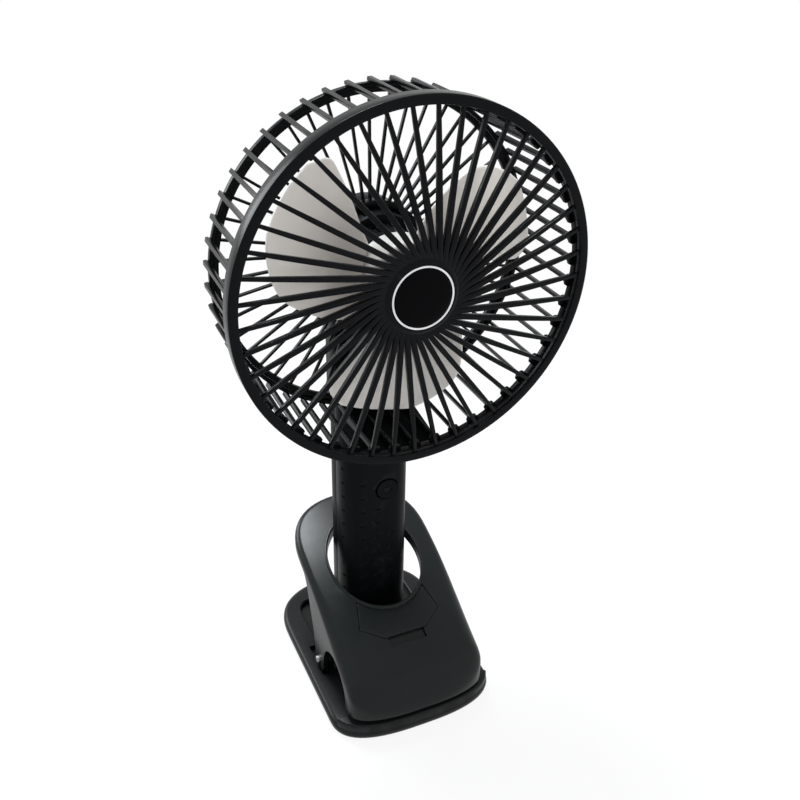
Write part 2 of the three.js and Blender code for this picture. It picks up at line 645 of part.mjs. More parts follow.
/** Arm behind the drum, cradle under it, and the barrel that turns in the handle's fork. */
function neckCarrier() {
  const { front, back, halfWidth, bottom, wall, cover } = ARM;
  const coverBed = back - cover - GAP;
  const hollow = alongY(armOutline(wall + 1.6, bottom + 8), front + wall, coverBed + 1, 0, 12);
  const recess = alongY(armOutline(wall, bottom + 6), coverBed, back + 1, 0, 12);
  const bosses = COVER_SCREWS.map(([, z]) => cut(
    bar('y', 3, front + 1, coverBed, [0, 0, z], 14), bar('y', 0.95, front + 4, back, [0, 0, z], 8),
  ));
  const arm = join(cut(alongY(armOutline(0, bottom), front, back, 2.5, 12), hollow, recess), ...bosses);
  const ring = turned([
    [DRUM.finRadius + 0.8, -51.5], [DRUM.finRadius + 4.4, -51.5],
    [DRUM.finRadius + 4.4, -12], [DRUM.finRadius + 3.2, -9], [DRUM.finRadius + 0.8, -9],
  ], 96).rotate([90, 0, 0]).translate([0, HEAD.face, HEAD.z]);
  const tongue = new THREE.Shape([
    new THREE.Vector2(-halfWidth, front + 2), new THREE.Vector2(-13, -35),
    new THREE.Vector2(13, -35), new THREE.Vector2(halfWidth, front + 2),
  ].reverse());
  const cradle = ring.intersect(solidOf(slab(tongue, 130, 160)));
  const drumBack = HEAD.face + DRUM.depth + 0.8;
  const bridge = block(-halfWidth, halfWidth, drumBack, front + 4, 142, 150);
  const shoulders = [-1, 1].map((side) => {
    const [near, far] = [TILT.barrelHalf, 25];
    return bar('x', TILT.shoulder + 0.7, Math.min(side * near, side * far),
      Math.max(side * near, side * far), [0, TILT.y, TILT.z], 32);
  });
  const barrel = bar('x', TILT.barrelRadius, -TILT.barrelHalf, TILT.barrelHalf, [0, TILT.y, TILT.z], 28);
  const web = block(-TILT.barrelHalf, TILT.barrelHalf, drumBack, TILT.y + 8, TILT.z, 149);
  const pinBore = bar('x', TILT.pinRadius + GAP, -20, 20, [0, TILT.y, TILT.z], 14);
  return cut(join(cut(join(arm, cradle, bridge), ...shoulders), barrel, web), pinBore);
}

/** Cover over the arm's hollow, with a counterbore for each screw. */
function carrierCover() {
  const { back, bottom, wall, cover } = ARM;
  const plate = alongY(armOutline(wall + GAP, bottom + 6 + GAP), back - cover, back, 0.6, 12);
  const holes = COVER_SCREWS.map(([, z]) => join(
    bar('y', 1.25, back - 4, back + 1, [0, 0, z], 10), bar('y', 2.6, back - 1.8, back + 1, [0, 0, z], 12),
  ));
  return cut(plate, ...holes);
}

function frictionWasher(side) {
  const [near, far] = [TILT.barrelHalf + GAP, HANDLE.forkHalfGap - GAP];
  const [from, to] = side > 0 ? [near, far] : [-far, -near];
  return cut(
    bar('x', 7.6, from, to, [0, TILT.y, TILT.z], 24),
    bar('x', TILT.pinRadius + GAP, from - 1, to + 1, [0, TILT.y, TILT.z], 14),
  );
}

// ---------------------------------------------------------------- head, in its own frame
// Here +Z points out of the front, X to the right and Y up, and the front rim is at z = 0.

/** Front guard: rim, domed hub and straight spokes that pass beside the axis. */
function frontGuard() {
  const { radius, rimInner } = DRUM;
  const rim = turned([
    [rimInner, -2.6], [radius - 1.8, -2.6], [radius - 1.8, -7], [radius, -7], [radius, -1.2],
    [radius - 1.2, 0], [rimInner, 0],
  ], 60);
  const hub = turned([
    [0, -3], [15.2, -3], [SPOKES.hubRadius, 0.8], [14.9, 1.9], [13.5, 2.3],
    [13.5, 1.1], [0, 1.1],
  ], 36);
  const { count, offset, first, dome } = SPOKES;
  const start = Math.sqrt((SPOKES.hubRadius - 1.5) ** 2 - offset ** 2);
  const end = Math.sqrt((rimInner + 1) ** 2 - offset ** 2);
  const spoke = spokeBar(start, end, { width: 2.2, top: dome - 0.4, deep: 3.4 },
    { width: 1.6, top: -0.55, deep: 2.0 }).translate([0, -offset, 0]);
  const spokes = Array.from({ length: count }, (_, place) => spoke.rotate([0, 0, first + (place * 360) / count]));
  return join(rim, hub, ...spokes);
}

/** Tapered bar along X, a little narrower at its back than at its face. */
function spokeBar(start, end, inner, outer) {
  const positions = [];
  for (const [x, { width, top, deep }] of [[start, inner], [end, outer]]) {
    const [face, back] = [width / 2, width / 2 - 0.25];
    positions.push(x, -face, top, x, face, top, x, back, top - deep, x, -back, top - deep);
  }
  const index = [0, 1, 2, 0, 2, 3, 4, 6, 5, 4, 7, 6];
  for (let corner = 0; corner < 4; corner++) {
    const next = (corner + 1) % 4;
    index.push(corner, corner + 4, next, next, corner + 4, next + 4);
  }
  const geometry = new THREE.BufferGeometry();
  geometry.setAttribute('position', new THREE.Float32BufferAttribute(positions, 3));
  geometry.setIndex(index);
  return solidOf(geometry);
}

/** Flat plate standing on edge, from an outline of [radius, height] points, at each fin's angle. */
function radialPlates(outline) {
  const { count, first, thickness } = FINS;
  const shape = new THREE.Shape(outline.map(([r, z]) => new THREE.Vector2(r, z)));
  const plate = new THREE.ExtrudeGeometry(shape, { depth: thickness, bevelEnabled: false });
  const solid = solidOf(plate.translate(0, 0, -thickness / 2).rotateX(Math.PI / 2));
  return Array.from({ length: count }, (_, place) => solid.rotate([0, 0, first + (place * 360) / count]));
}

/** Hoop of rectangular section. */
function hoop(inner, outer, z0, z1, segments) {
  return turned([[inner, z0], [outer, z0], [outer, z1], [inner, z1]], segments);
}

/** Side guard: pointed fins between the hoop behind the front rim and a thin hoop at the back. */
function sideGuard() {
  const { finRadius, ringRadius, depth } = DRUM;
  const { front, tip } = FINS;
  const inner = ringRadius + 0.4;
  const fins = radialPlates([[inner, -depth], [finRadius, tip], [finRadius, front], [inner, front]]);
  const frontHoop = hoop(inner, finRadius + 0.5, front - 2.5, -3, 48);
  const rearHoop = hoop(ringRadius - 0.3, inner + 0.4, -depth, -depth + 1.8, 48);
  return join(frontHoop, rearHoop, ...fins);
}

/** Rear guard: thin radial spokes from the motor to a hoop that nests inside the side guard. */
function rearGuard() {
  const { ringRadius, depth } = DRUM;
  const outer = ringRadius - 0.3 - GAP;
  const hubBack = -depth - 2.6;
  const hubInner = MOTOR.housingRadius + 0.4;
  const spokes = radialPlates([
    [hubInner + 0.6, hubBack], [outer - 0.8, -depth], [outer - 0.8, -depth + 2.8],
    [hubInner + 0.6, hubBack + 3],
  ]);
  const hub = hoop(hubInner, hubInner + 3, hubBack, hubBack + 3.6, 24);
  return join(hoop(outer - 2.2, outer, -depth, -depth + 2.6, 48), hub, ...spokes);
}

/**
 * Paddle blade. Its leading edge is at the back of the hub and its trailing edge at the
 * front, so the fan turns clockwise as seen from the front and blows forwards.
 */
function paddle() {
  const { hubRadius, tipRadius } = IMPELLER;
  const [alongSteps, acrossSteps] = [7, 6];
  const height = 15;
  const surface = (u, v) => {
    const radius = THREE.MathUtils.lerp(hubRadius - 1.4, tipRadius, u);
    const leading = 11 * (1 - u) ** 2.5 + 10 * Math.max(0, (u - 0.8) / 0.2) ** 2.2;
    const trailing = 101 - 38 * u - 19 * Math.max(0, (u - 0.6) / 0.4) ** 2;
    const angle = THREE.MathUtils.lerp(leading, trailing, v) * DEGREE;
    const cup = 1.4 * Math.sin(Math.PI * v) * u;
    const climb = height * (v - 0.5) * (1 - 0.45 * u);
    return new THREE.Vector3(radius * Math.cos(angle), radius * Math.sin(angle), climb - cup);
  };
  return sheet(surface, alongSteps, acrossSteps, 1.3);
}

/** Closed solid of even thickness on both sides of a surface given over the unit square. */
function sheet(surface, uSteps, vSteps, thickness) {
  const positions = [];
  const normalAt = (u, v) => {
    const [h, k] = [u > 0.5 ? -1e-3 : 1e-3, v > 0.5 ? -1e-3 : 1e-3];
    const here = surface(u, v);
    const alongU = surface(u + h, v).sub(here).multiplyScalar(Math.sign(h));
    const alongV = surface(u, v + k).sub(here).multiplyScalar(Math.sign(k));
    return alongU.cross(alongV).normalize();
  };
  for (const side of [1, -1]) {
    for (let i = 0; i <= uSteps; i++) {
      for (let j = 0; j <= vSteps; j++) {
        const [u, v] = [i / uSteps, j / vSteps];
        positions.push(...surface(u, v).addScaledVector(normalAt(u, v), (side * thickness) / 2).toArray());
      }
    }
  }
  const layer = (uSteps + 1) * (vSteps + 1);
  const at = (i, j, side) => side * layer + i * (vSteps + 1) + j;
  const index = [];
  const quad = (a, b, c, d) => index.push(a, b, c, a, c, d);
  for (let i = 0; i < uSteps; i++) {
    for (let j = 0; j < vSteps; j++) {
      quad(at(i, j, 0), at(i + 1, j, 0), at(i + 1, j + 1, 0), at(i, j + 1, 0));
      quad(at(i, j, 1), at(i, j + 1, 1), at(i + 1, j + 1, 1), at(i + 1, j, 1));
    }
    quad(at(i, 0, 0), at(i, 0, 1), at(i + 1, 0, 1), at(i + 1, 0, 0));
    quad(at(i, vSteps, 0), at(i + 1, vSteps, 0), at(i + 1, vSteps, 1), at(i, vSteps, 1));
  }
  for (let j = 0; j < vSteps; j++) {
    quad(at(0, j, 0), at(0, j + 1, 0), at(0, j + 1, 1), at(0, j, 1));
    quad(at(uSteps, j, 0), at(uSteps, j, 1), at(uSteps, j + 1, 1), at(uSteps, j + 1, 0));
  }
  const geometry = new THREE.BufferGeometry();
  geometry.setAttribute('position', new THREE.Float32BufferAttribute(positions, 3));
  geometry.setIndex(index);
  return solidOf(geometry);
}

function impeller() {
  const { hubRadius, front, back, bladeMiddle, blades, first } = IMPELLER;
  const cup = turned([
    [MOTOR.shaftRadius + GAP, front - 6], [4, front - 6], [4, front - 2], [hubRadius - 1.8, front - 2.4],
    [hubRadius - 1.8, back], [hubRadius, back], [hubRadius, front - 3], [hubRadius - 2.4, front - 0.4],
    [7, front + 0.4], [MOTOR.shaftRadius + GAP, front + 0.4],
  ], 36);
  const blade = paddle().translate([0, 0, bladeMiddle]);
  const hollow = bar('z', hubRadius - 1.8, back - 12, front - 2.4, [0, 0, 0], 36);
  const all = Array.from({ length: blades }, (_, place) => cut(blade, hollow)
    .rotate([0, 0, first + (place * 360) / blades]));
  return join(cup, ...all);
}

/** Motor housing: a wide foot on the rear guard that steps in to a collar, both with vents. */
function motorHousing() {
  const { housingRadius, collarRadius, collarFront, canRadius } = MOTOR;
  const back = -DRUM.depth - 2.6;
  const shoulder = back + 10.4;
  const cup = turned([
    [0, back], [housingRadius, back], [housingRadius, shoulder - 1.2], [housingRadius - 1.2, shoulder],
    [collarRadius, shoulder], [collarRadius, collarFront], [canRadius + 1, collarFront],
    [canRadius + 1, back + 2], [0, back + 2],
  ], 36);
  const vents = Array.from({ length: 12 }, (_, place) => join(
    block(canRadius + 2.6, housingRadius + 2, -1.1, 1.1, back + 3.4, shoulder - 2.2),
    block(canRadius + 2.2, housingRadius + 2, -1.1, 1.1, shoulder + 1.6, collarFront - 2.4),
  ).rotate([0, 0, place * 30 + 15]));
  return cut(cup, ...vents);
}

function motorCan() {
  const [front, back] = [-21.5, -DRUM.depth - 0.3];
  const can = turned([
    [0, back], [MOTOR.canRadius, back], [MOTOR.canRadius, front - 3], [MOTOR.canRadius - 1, front - 2],
    [4.5, front - 2], [4.5, front], [0, front],
  ], 28);
  return cut(can, bar('z', MOTOR.shaftRadius + GAP, back + 3, front + 2, [0, 0, 0], 12));
}

// ---------------------------------------------------------------- assembly

const clipFan = new THREE.Group();
clipFan.name = 'clip_fan';

function add(parent, name, material, solid) {
  const mesh = new THREE.Mesh(geometryOf(solid), material);
  mesh.name = name;
  parent.add(mesh);
}

const lowerJaw = new THREE.Group();
add(lowerJaw, 'base_tray', FINISH.blackPlastic, baseTray());
add(lowerJaw, 'sole_pad', FINISH.rubber, solePad());
add(lowerJaw, 'lower_jaw_pad', FINISH.rubber,
  jawPad(PAD.split - PAD.thickness, PAD.split - GAP / 2, PAD.split - GAP / 2));
add(lowerJaw, 'hinge_pin', FINISH.steel,
  bar('x', HINGE.pinRadius, -HINGE.pinHalfLength, HINGE.pinHalfLength, [0, HINGE.y, HINGE.z], 20));
add(lowerJaw, 'torsion_spring_left', FINISH.springSteel, torsionSpring(-1));
add(lowerJaw, 'torsion_spring_right', FINISH.springSteel, torsionSpring(1));
for (const [name, side] of [['foot_screw_left', -1], ['foot_screw_right', 1]]) {
  add(lowerJaw, name, FINISH.steel, screw('z', 2.4, -1, 11.5, [side * FOOT_SCREW_X, HANDLE.y, 0], 2.8, 1.2));
}

const upperJaw = new THREE.Group();
add(upperJaw, 'upper_jaw_shell', FINISH.shellPlastic, upperJawShell());
add(upperJaw, 'upper_jaw_pad', FINISH.rubber,
  jawPad(PAD.split + GAP / 2, PAD.split + PAD.thickness, PAD.split + GAP / 2));
add(upperJaw, 'compartment_lid', FINISH.shellPlastic, compartmentLid());

const handle = new THREE.Group();
add(handle, 'handle_front_shell', FINISH.blackPlastic, handleShell('front'));
add(handle, 'handle_back_shell', FINISH.blackPlastic, handleShell('back'));
add(handle, 'foot_block', FINISH.blackPlastic, footBlock());
add(handle, 'battery_cell', FINISH.cellWrap, batteryCell());
add(handle, 'control_board', FINISH.board, block(-9, 9, 7.2, 8.4, 90, 119));
add(handle, 'tact_switch', FINISH.glossBlack, block(BUTTON.x - 3, BUTTON.x + 3, 5, 6.9, 98, 104));
add(handle, 'charge_board', FINISH.board, block(-8, 8, 14.6, 15.8, 90, 106));
add(handle, 'charging_port', FINISH.steel, cut(
  solidOf(slab(roundedRectangle(8.9, 3.2, 1.5, 0), 0, 9.4, 0, 3)),
  solidOf(slab(roundedRectangle(7.7, 2.2, 1, 0), 2, 12, 0, 3)),
).rotate([-90, 0, 0]).translate([0, 16.1, PORT_Z]));
add(handle, 'power_button', FINISH.blackPlastic, powerButton());
HANDLE_SCREWS.forEach(([x, z], place) => {
  add(handle, `handle_screw_${place + 1}`, FINISH.steel, screw('y', SCREW_WELL.floor + 1.8, 1, 12, [x, 0, z], 2));
});
add(handle, 'tilt_pin', FINISH.steel, bar('x', TILT.pinRadius, -14.2, 14.2, [0, TILT.y, TILT.z], 16));
add(handle, 'friction_washer_left', FINISH.bushBrown, frictionWasher(-1));
add(handle, 'friction_washer_right', FINISH.bushBrown, frictionWasher(1));

const head = new THREE.Group();
add(head, 'neck_carrier', FINISH.blackPlastic, neckCarrier());
add(head, 'carrier_cover', FINISH.blackPlastic, carrierCover());
for (const [name, z] of COVER_SCREWS) {
  add(head, `cover_screw_${name}`, FINISH.steel, screw('y', ARM.back, 1, 6, [0, 0, z], 2.3, 0.8));
}

const drum = new THREE.Group();
drum.position.set(0, HEAD.face, HEAD.z);
drum.rotation.x = Math.PI / 2;
head.add(drum);
add(drum, 'front_guard', FINISH.guardPlastic, frontGuard());
add(drum, 'side_guard', FINISH.guardPlastic, sideGuard());
add(drum, 'rear_guard', FINISH.guardPlastic, rearGuard());
add(drum, 'hub_ring', FINISH.chrome, turned([[12.2, 1.4], [13.1, 1.4], [13.1, 2.3], [12.2, 2.3]], 36));
add(drum, 'hub_cap', FINISH.glossBlack, turned([[0, 1.4], [11.9, 1.4], [11.9, 2.2], [8, 2.6], [0, 2.8]], 36));
add(drum, 'motor_housing', FINISH.blackPlastic, motorHousing());
add(drum, 'motor_can', FINISH.steel, motorCan());
add(drum, 'motor_shaft', FINISH.steel, bar('z', MOTOR.shaftRadius, -42, -12.8, [0, 0, 0], 14));
add(drum, 'impeller', FINISH.bladePlastic, impeller());

clipFan.add(lowerJaw, upperJaw, handle, head);

export default clipFan;
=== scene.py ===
"""Clip fan: the finished look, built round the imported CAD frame. Metres, same frame as the CAD."""

import bpy
import json
import math
from mathutils import Matrix, Vector


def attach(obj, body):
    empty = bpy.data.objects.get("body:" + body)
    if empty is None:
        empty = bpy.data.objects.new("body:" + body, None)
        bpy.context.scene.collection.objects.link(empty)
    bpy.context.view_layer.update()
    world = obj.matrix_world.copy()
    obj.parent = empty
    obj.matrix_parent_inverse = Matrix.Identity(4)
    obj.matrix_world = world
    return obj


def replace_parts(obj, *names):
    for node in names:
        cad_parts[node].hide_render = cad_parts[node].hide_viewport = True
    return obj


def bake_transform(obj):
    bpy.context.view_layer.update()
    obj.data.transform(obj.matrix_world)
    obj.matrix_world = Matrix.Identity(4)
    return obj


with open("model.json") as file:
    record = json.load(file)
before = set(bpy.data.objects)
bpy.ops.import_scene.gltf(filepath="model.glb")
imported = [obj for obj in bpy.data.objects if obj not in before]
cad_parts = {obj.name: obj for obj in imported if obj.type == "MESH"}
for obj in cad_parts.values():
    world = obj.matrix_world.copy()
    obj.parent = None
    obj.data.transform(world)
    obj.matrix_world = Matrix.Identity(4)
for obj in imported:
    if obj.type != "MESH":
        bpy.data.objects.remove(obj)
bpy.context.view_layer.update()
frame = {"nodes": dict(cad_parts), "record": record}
bpy.ops.object.select_all(action="DESELECT")

MM = 0.001


def shift(x, y, z):
    """A move by millimetres."""
    return Matrix.Translation(Vector((x, y, z)) * MM)


# ------------------------------------------------------------------ sizes, in millimetres

DRUM_AXIS_Z = 217.7
RIM_FACE_Y = -39.0
RIM_RADIUS = 75.0
RIM_INNER = 71.2
RIM_WIDTH = 7.0
DRUM_DEPTH = 47.6
FIN_RADIUS = 72.3
HUB_RADIUS = 16.1
SPOKE_OFFSET = 7.45
SPOKE_COUNT = 45
SPOKE_FIRST = 3.84
FIN_COUNT = 48
FIN_FIRST = 1.75
DRUM_SIDES = 160
HUB_SIDES = 128

# the drum's own frame: Z out of the front, X to the right, Y up, the front rim at Z = 0
DRUM = shift(0, RIM_FACE_Y, DRUM_AXIS_Z) @ Matrix.Rotation(math.pi / 2, 4, "X")


# ------------------------------------------------------------------ modelling helpers

def selected_alone(obj):
    bpy.ops.object.select_all(action="DESELECT")
    bpy.context.view_layer.objects.active = obj
    obj.select_set(True)


def edit(obj):
    selected_alone(obj)
    bpy.ops.object.mode_set(mode="EDIT")
    bpy.ops.mesh.select_all(action="SELECT")


def done_editing():
    bpy.ops.object.mode_set(mode="OBJECT")
    return bpy.context.object


def named(name):
    obj = bpy.context.object
    obj.name = name
    obj.data.name = name
    return obj


def chain(name, points):
    """A run of edges through the points: one vertex, extruded from point to point."""
    bpy.ops.mesh.primitive_plane_add(size=MM, location=(0, 0, 0))
    obj = named(name)
    edit(obj)
    bpy.ops.mesh.merge(type="CENTER")
    done_editing()
    obj.data.vertices[0].co = points[0]
    edit(obj)
    for here, there in zip(points, points[1:]):
        bpy.ops.mesh.extrude_region_move(TRANSFORM_OT_translate={"value": Vector(there) - Vector(here)})
    return done_editing()


def turned(name, profile, steps=96):
    """A profile of [radius, height] points, in millimetres, spun round the Z axis."""
    obj = chain(name, [(r * MM, 0, z * MM) for r, z in profile])
    edit(obj)
    bpy.ops.mesh.spin(steps=steps, angle=2 * math.pi, center=(0, 0, 0), axis=(0, 0, 1))
    bpy.ops.mesh.select_all(action="SELECT")
    bpy.ops.mesh.remove_doubles(threshold=1e-6)
    bpy.ops.mesh.normals_make_consistent(inside=False)
    return done_editing()


def use(obj, kind, **settings):
    """Adds a modifier and applies it."""
    modifier = obj.modifiers.new(kind.title(), kind)
    for key, value in settings.items():
        setattr(modifier, key, value)
    selected_alone(obj)
    bpy.ops.object.modifier_apply(modifier=modifier.name)
    return obj


def soften(obj, width, segments=2, angle=30):
    """Rounds every edge that is sharper than the angle."""
    return use(obj, "BEVEL", width=width * MM, segments=segments, limit_method="ANGLE",
               angle_limit=math.radians(angle), use_clamp_overlap=True)


def smooth(obj, angle=35):
    selected_alone(obj)
    bpy.ops.object.shade_smooth_by_angle(angle=math.radians(angle))
    return obj


def placed(obj, matrix):
    """Moves the mesh itself, so that the object stays at the origin."""
    selected_alone(obj)
    obj.matrix_world = matrix @ obj.matrix_world
    bpy.ops.object.transform_apply(location=True, rotation=True, scale=True)
    return obj


def extrude_ring(obj, places, ring):
    """Extrudes the ring that is selected and puts it in place. places holds each point's index."""
    bpy.ops.mesh.extrude_region_move()
    bpy.ops.object.mode_set(mode="OBJECT")
    vertices = obj.data.vertices
    below = {tuple(round(c, 7) for c in vertices[index].co): step for step, index in enumerate(places)}
    for index in [vertex.index for vertex in vertices if vertex.select]:
        places[below[tuple(round(c, 7) for c in vertices[index].co)]] = index
    for index, point in zip(places, ring):
        vertices[index].co = Vector(point) * MM
    bpy.ops.object.mode_set(mode="EDIT")


def skin(name, rings, close):
    """A skin through rings of equal count: a circle is extruded from ring to ring.

    close is "flat" for a flat face at both ends, "middle" for one at the first ring while the last
    ring folds together on a middle line, or "loop" for a tube whose last ring is its first.
    """
    count = len(rings[0])
    bpy.ops.mesh.primitive_circle_add(vertices=count, radius=1, location=(0, 0, 0))
    obj = named(name)
    for vertex, point in zip(obj.data.vertices, rings[0]):
        vertex.co = Vector(point) * MM
    places = list(range(count))
    edit(obj)
    if close != "loop":
        bpy.ops.mesh.edge_face_add()
    for ring in rings[1:]:
        extrude_ring(obj, places, ring)
    if close == "middle":
        bpy.ops.mesh.delete(type="ONLY_FACE")
    if close == "loop":
        extrude_ring(obj, places, rings[0])
    bpy.ops.mesh.select_all(action="SELECT")
    bpy.ops.mesh.remove_doubles(threshold=2e-6)
    bpy.ops.mesh.normals_make_consistent(inside=False)
    return done_editing()


def plate(name, outline, thickness):
    """A flat outline of points, in millimetres, filled and extruded along the thickness vector."""
    away = [tuple(c + t for c, t in zip(point, thickness)) for point in outline]
    return skin(name, [outline, away], "flat")


def arc(middle, radii, angles):
    """Points round a middle at the given angles, in degrees. A radius for each of the two directions."""
    return [(middle[0] + radii[0] * math.cos(math.radians(angle)),
             middle[1] + radii[1] * math.sin(math.radians(angle))) for angle in angles]


def rounded_plan(half, corner, middle_y):
    """A rectangle with rounded corners, ten points to a corner."""
    plan = []
    for sx, sy, first in ((1, 1, 0), (-1, 1, 90), (-1, -1, 180), (1, -1, 270)):
        middle = (sx * (half[0] - corner), middle_y + sy * (half[1] - corner))
        plan += arc(middle, (corner, corner), range(first, first + 91, 10))
    return plan


def rounded_block(name, half, corner, middle_y, low, high):
    """An upright block on that plan."""
    plan = rounded_plan(half, corner, middle_y)
    return skin(name, [[(x, y, z) for x, y in plan] for z in (low, high)], "flat")


def sheet(name, columns, rows, surface, thickness, offset):
    """A grid laid over a surface of two shares from 0 to 1, then given its wall."""
    bpy.ops.mesh.primitive_grid_add(x_subdivisions=columns, y_subdivisions=rows, size=1,
                                    location=(0, 0, 0))
    obj = named(name)
    for vertex in obj.data.vertices:
        vertex.co = Vector(surface(vertex.co.x + 0.5, vertex.co.y + 0.5)) * MM
    return use(obj, "SOLIDIFY", thickness=thickness * MM, offset=offset, use_even_offset=True)


def brick(name, low, high):
    """A block between two corners, in millimetres."""
    middle = [(a + b) / 2 * MM for a, b in zip(low, high)]
    bpy.ops.mesh.primitive_cube_add(size=MM, location=middle)
    obj = named(name)
    obj.scale = [b - a for a, b in zip(low, high)]
    selected_alone(obj)
    bpy.ops.object.transform_apply(location=True, rotation=True, scale=True)
    return obj


# turns a piece that stands along Z to lie along the named axis
TURN = {"x": Matrix.Rotation(math.pi / 2, 4, "Y"),
        "y": Matrix.Rotation(-math.pi / 2, 4, "X"),
        "z": Matrix()}


def rod(name, axis, radius, start, end, place, sides):
    """A round bar along an axis, from one place on it to another, in millimetres."""
    bpy.ops.mesh.primitive_cylinder_add(vertices=sides, radius=radius * MM, depth=(end - start) * MM,
                                        location=(0, 0, 0))
    obj = named(name)
    middle = list(place)
    middle["xyz".index(axis)] += (start + end) / 2
    return placed(obj, shift(*middle) @ TURN[axis])


def boolean(obj, tool, operation="DIFFERENCE"):
    use(obj, "BOOLEAN", object=tool, operation=operation, solver="EXACT")
    bpy.data.objects.remove(tool, do_unlink=True)
    return obj


def less(obj, *tools):
    for tool in tools:
        boolean(obj, tool)
    return obj


def plus(obj, *others):
    for other in others:
        boolean(obj, other, "UNION")
    return obj


def copy_of(obj, matrix, name=None):
    """A copy with its own mesh, put in its place."""
    selected_alone(obj)
    bpy.ops.object.duplicate(linked=False)
    copy = bpy.context.object
    copy.parent = None
    placed(copy, matrix)
    return named(name) if name else copy


def repeated(obj, count, first, step):
    """Copies round the Z axis, each with its own mesh. The first one is turned too."""
    copies = [copy_of(obj, Matrix.Rotation(math.radians(first + place * step), 4, "Z"))
              for place in range(count)]
    bpy.data.objects.remove(obj, do_unlink=True)
    return copies


def joined(name, objs):
    bpy.ops.object.select_all(action="DESELECT")
    for obj in objs:
        obj.select_set(True)
    bpy.context.view_layer.objects.active = objs[0]
    bpy.ops.object.join()
    return named(name)


def coated(obj, material):
    """The whole piece wears this material and no other."""
    obj.data.materials.clear()
    obj.data.materials.append(material)
    for face in obj.data.polygons:
        face.material_index = 0
    return obj


def finished(obj, body, slot, *nodes, look=None):
    """The piece wears its finish, rides on its body and stands for the CAD nodes."""
    coated(obj, LOOK[look or slot])
    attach(obj, body)
    if nodes:
        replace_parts(obj, *nodes)
    return obj


# ------------------------------------------------------------------ shader groups

def feed(tree, socket, value):
    """A socket takes a plain number or another node's output."""
    if isinstance(value, (int, float)):
        socket.default_value = value
    else:
        tree.links.new(value, socket)


def math_node(tree, operation, a, b, clamp=False):
    node = tree.nodes.new("ShaderNodeMath")
    node.operation = operation
    node.use_clamp = clamp
    feed(tree, node.inputs[0], a)
    feed(tree, node.inputs[1], b)
    return node.outputs[0]


def noise(tree, coordinates, scale, detail, roughness=0.5):
    node = tree.nodes.new("ShaderNodeTexNoise")
    tree.links.new(coordinates, node.inputs["Vector"])
    feed(tree, node.inputs["Scale"], scale)
    node.inputs["Detail"].default_value = detail
    node.inputs["Roughness"].default_value = roughness
    return node.outputs["Fac"]


def colour_mix(tree, blend, share, a, b):
    mix = tree.nodes.new("ShaderNodeMix")
    mix.data_type = "RGBA"
    mix.blend_type = blend
    feed(tree, mix.inputs["Factor"], share)
    tree.links.new(a, mix.inputs["A"])
    tree.links.new(b, mix.inputs["B"])
    return mix.outputs["Result"]


def colour_ramp(tree, value, *stops):
    """Two stops, each a place from 0 to 1 and a colour."""
    ramp = tree.nodes.new("ShaderNodeValToRGB")
    for element, (position, colour) in zip(ramp.color_ramp.elements, stops):
        element.position = position
        element.color = (*colour, 1)
    tree.links.new(value, ramp.inputs["Fac"])
    return ramp.outputs["Color"]


def surface_mix(tree, share, first, second, output):
    """Mixes two shaders and feeds the surface of the named output node."""
    mix = tree.nodes.new("ShaderNodeMixShader")
    for socket, value in zip(mix.inputs, (share, first, second)):
        tree.links.new(value, socket)
    tree.links.new(mix.outputs["Shader"], tree.nodes[output].inputs["Surface"])


def moulded_plastic_group():
    """Moulding grain, faint flow blotches, handling scuffs, dust and pale worn edges."""
    tree = bpy.data.node_groups.new("moulded_plastic", "ShaderNodeTree")
    for way, kind, labels in (("INPUT", "Float", ("Grain size", "Dust", "Wear", "Roughness")),
                              ("INPUT", "Color", ("Colour", "Pale")),
                              ("OUTPUT", "Color", ("Colour",)),
                              ("OUTPUT", "Float", ("Roughness", "Height"))):
        for label in labels:
            tree.interface.new_socket(label, in_out=way, socket_type="NodeSocket" + kind)
    given = tree.nodes.new("NodeGroupInput").outputs
    result = tree.nodes.new("NodeGroupOutput").inputs

    def maths(operation, a, b, clamp=False):
        return math_node(tree, operation, a, b, clamp)

    place = tree.nodes.new("ShaderNodeTexCoord").outputs["Object"]
    grain = noise(tree, place, given["Grain size"], 2.0)
    blotch = noise(tree, place, 38.0, 3.0)
    scuff = noise(tree, place, 210.0, 6.0, 0.7)
    geometry = tree.nodes.new("ShaderNodeNewGeometry")
    normal = tree.nodes.new("ShaderNodeSeparateXYZ")
    tree.links.new(geometry.outputs["Normal"], normal.inputs[0])
    facing_up = maths("MULTIPLY", maths("MAXIMUM", normal.outputs[2], 0.0), given["Dust"])
    dust = maths("MULTIPLY", facing_up, maths("SUBTRACT", scuff, 0.36, True), True)
    edge = maths("MULTIPLY", maths("SUBTRACT", geometry.outputs["Pointiness"], 0.53, True), 7.0, True)
    worn = maths("MULTIPLY", maths("MULTIPLY", edge, given["Wear"]), maths("ADD", scuff, 0.3))
    worn_colour = colour_mix(tree, "MIX", maths("ADD", dust, worn, True), given["Colour"], given["Pale"])
    flow = colour_ramp(tree, blotch, (0.3, (0.72, 0.72, 0.72)), (0.7, (1, 1, 1)))
    tree.links.new(colour_mix(tree, "MULTIPLY", 0.35, worn_colour, flow), result["Colour"])
    rough = maths("ADD", given["Roughness"], maths("MULTIPLY", maths("SUBTRACT", scuff, 0.5), 0.07))
    tree.links.new(maths("ADD", rough, maths("MULTIPLY", dust, 0.5), True), result["Roughness"])
    tree.links.new(maths("ADD", grain, maths("MULTIPLY", scuff, 0.4)), result["Height"])
    return tree


PLASTIC = moulded_plastic_group()


def new_material(name):
    material = bpy.data.materials.new(name)
    material.use_nodes = True
    tree = material.node_tree
    return material, tree, tree.nodes["Principled BSDF"]


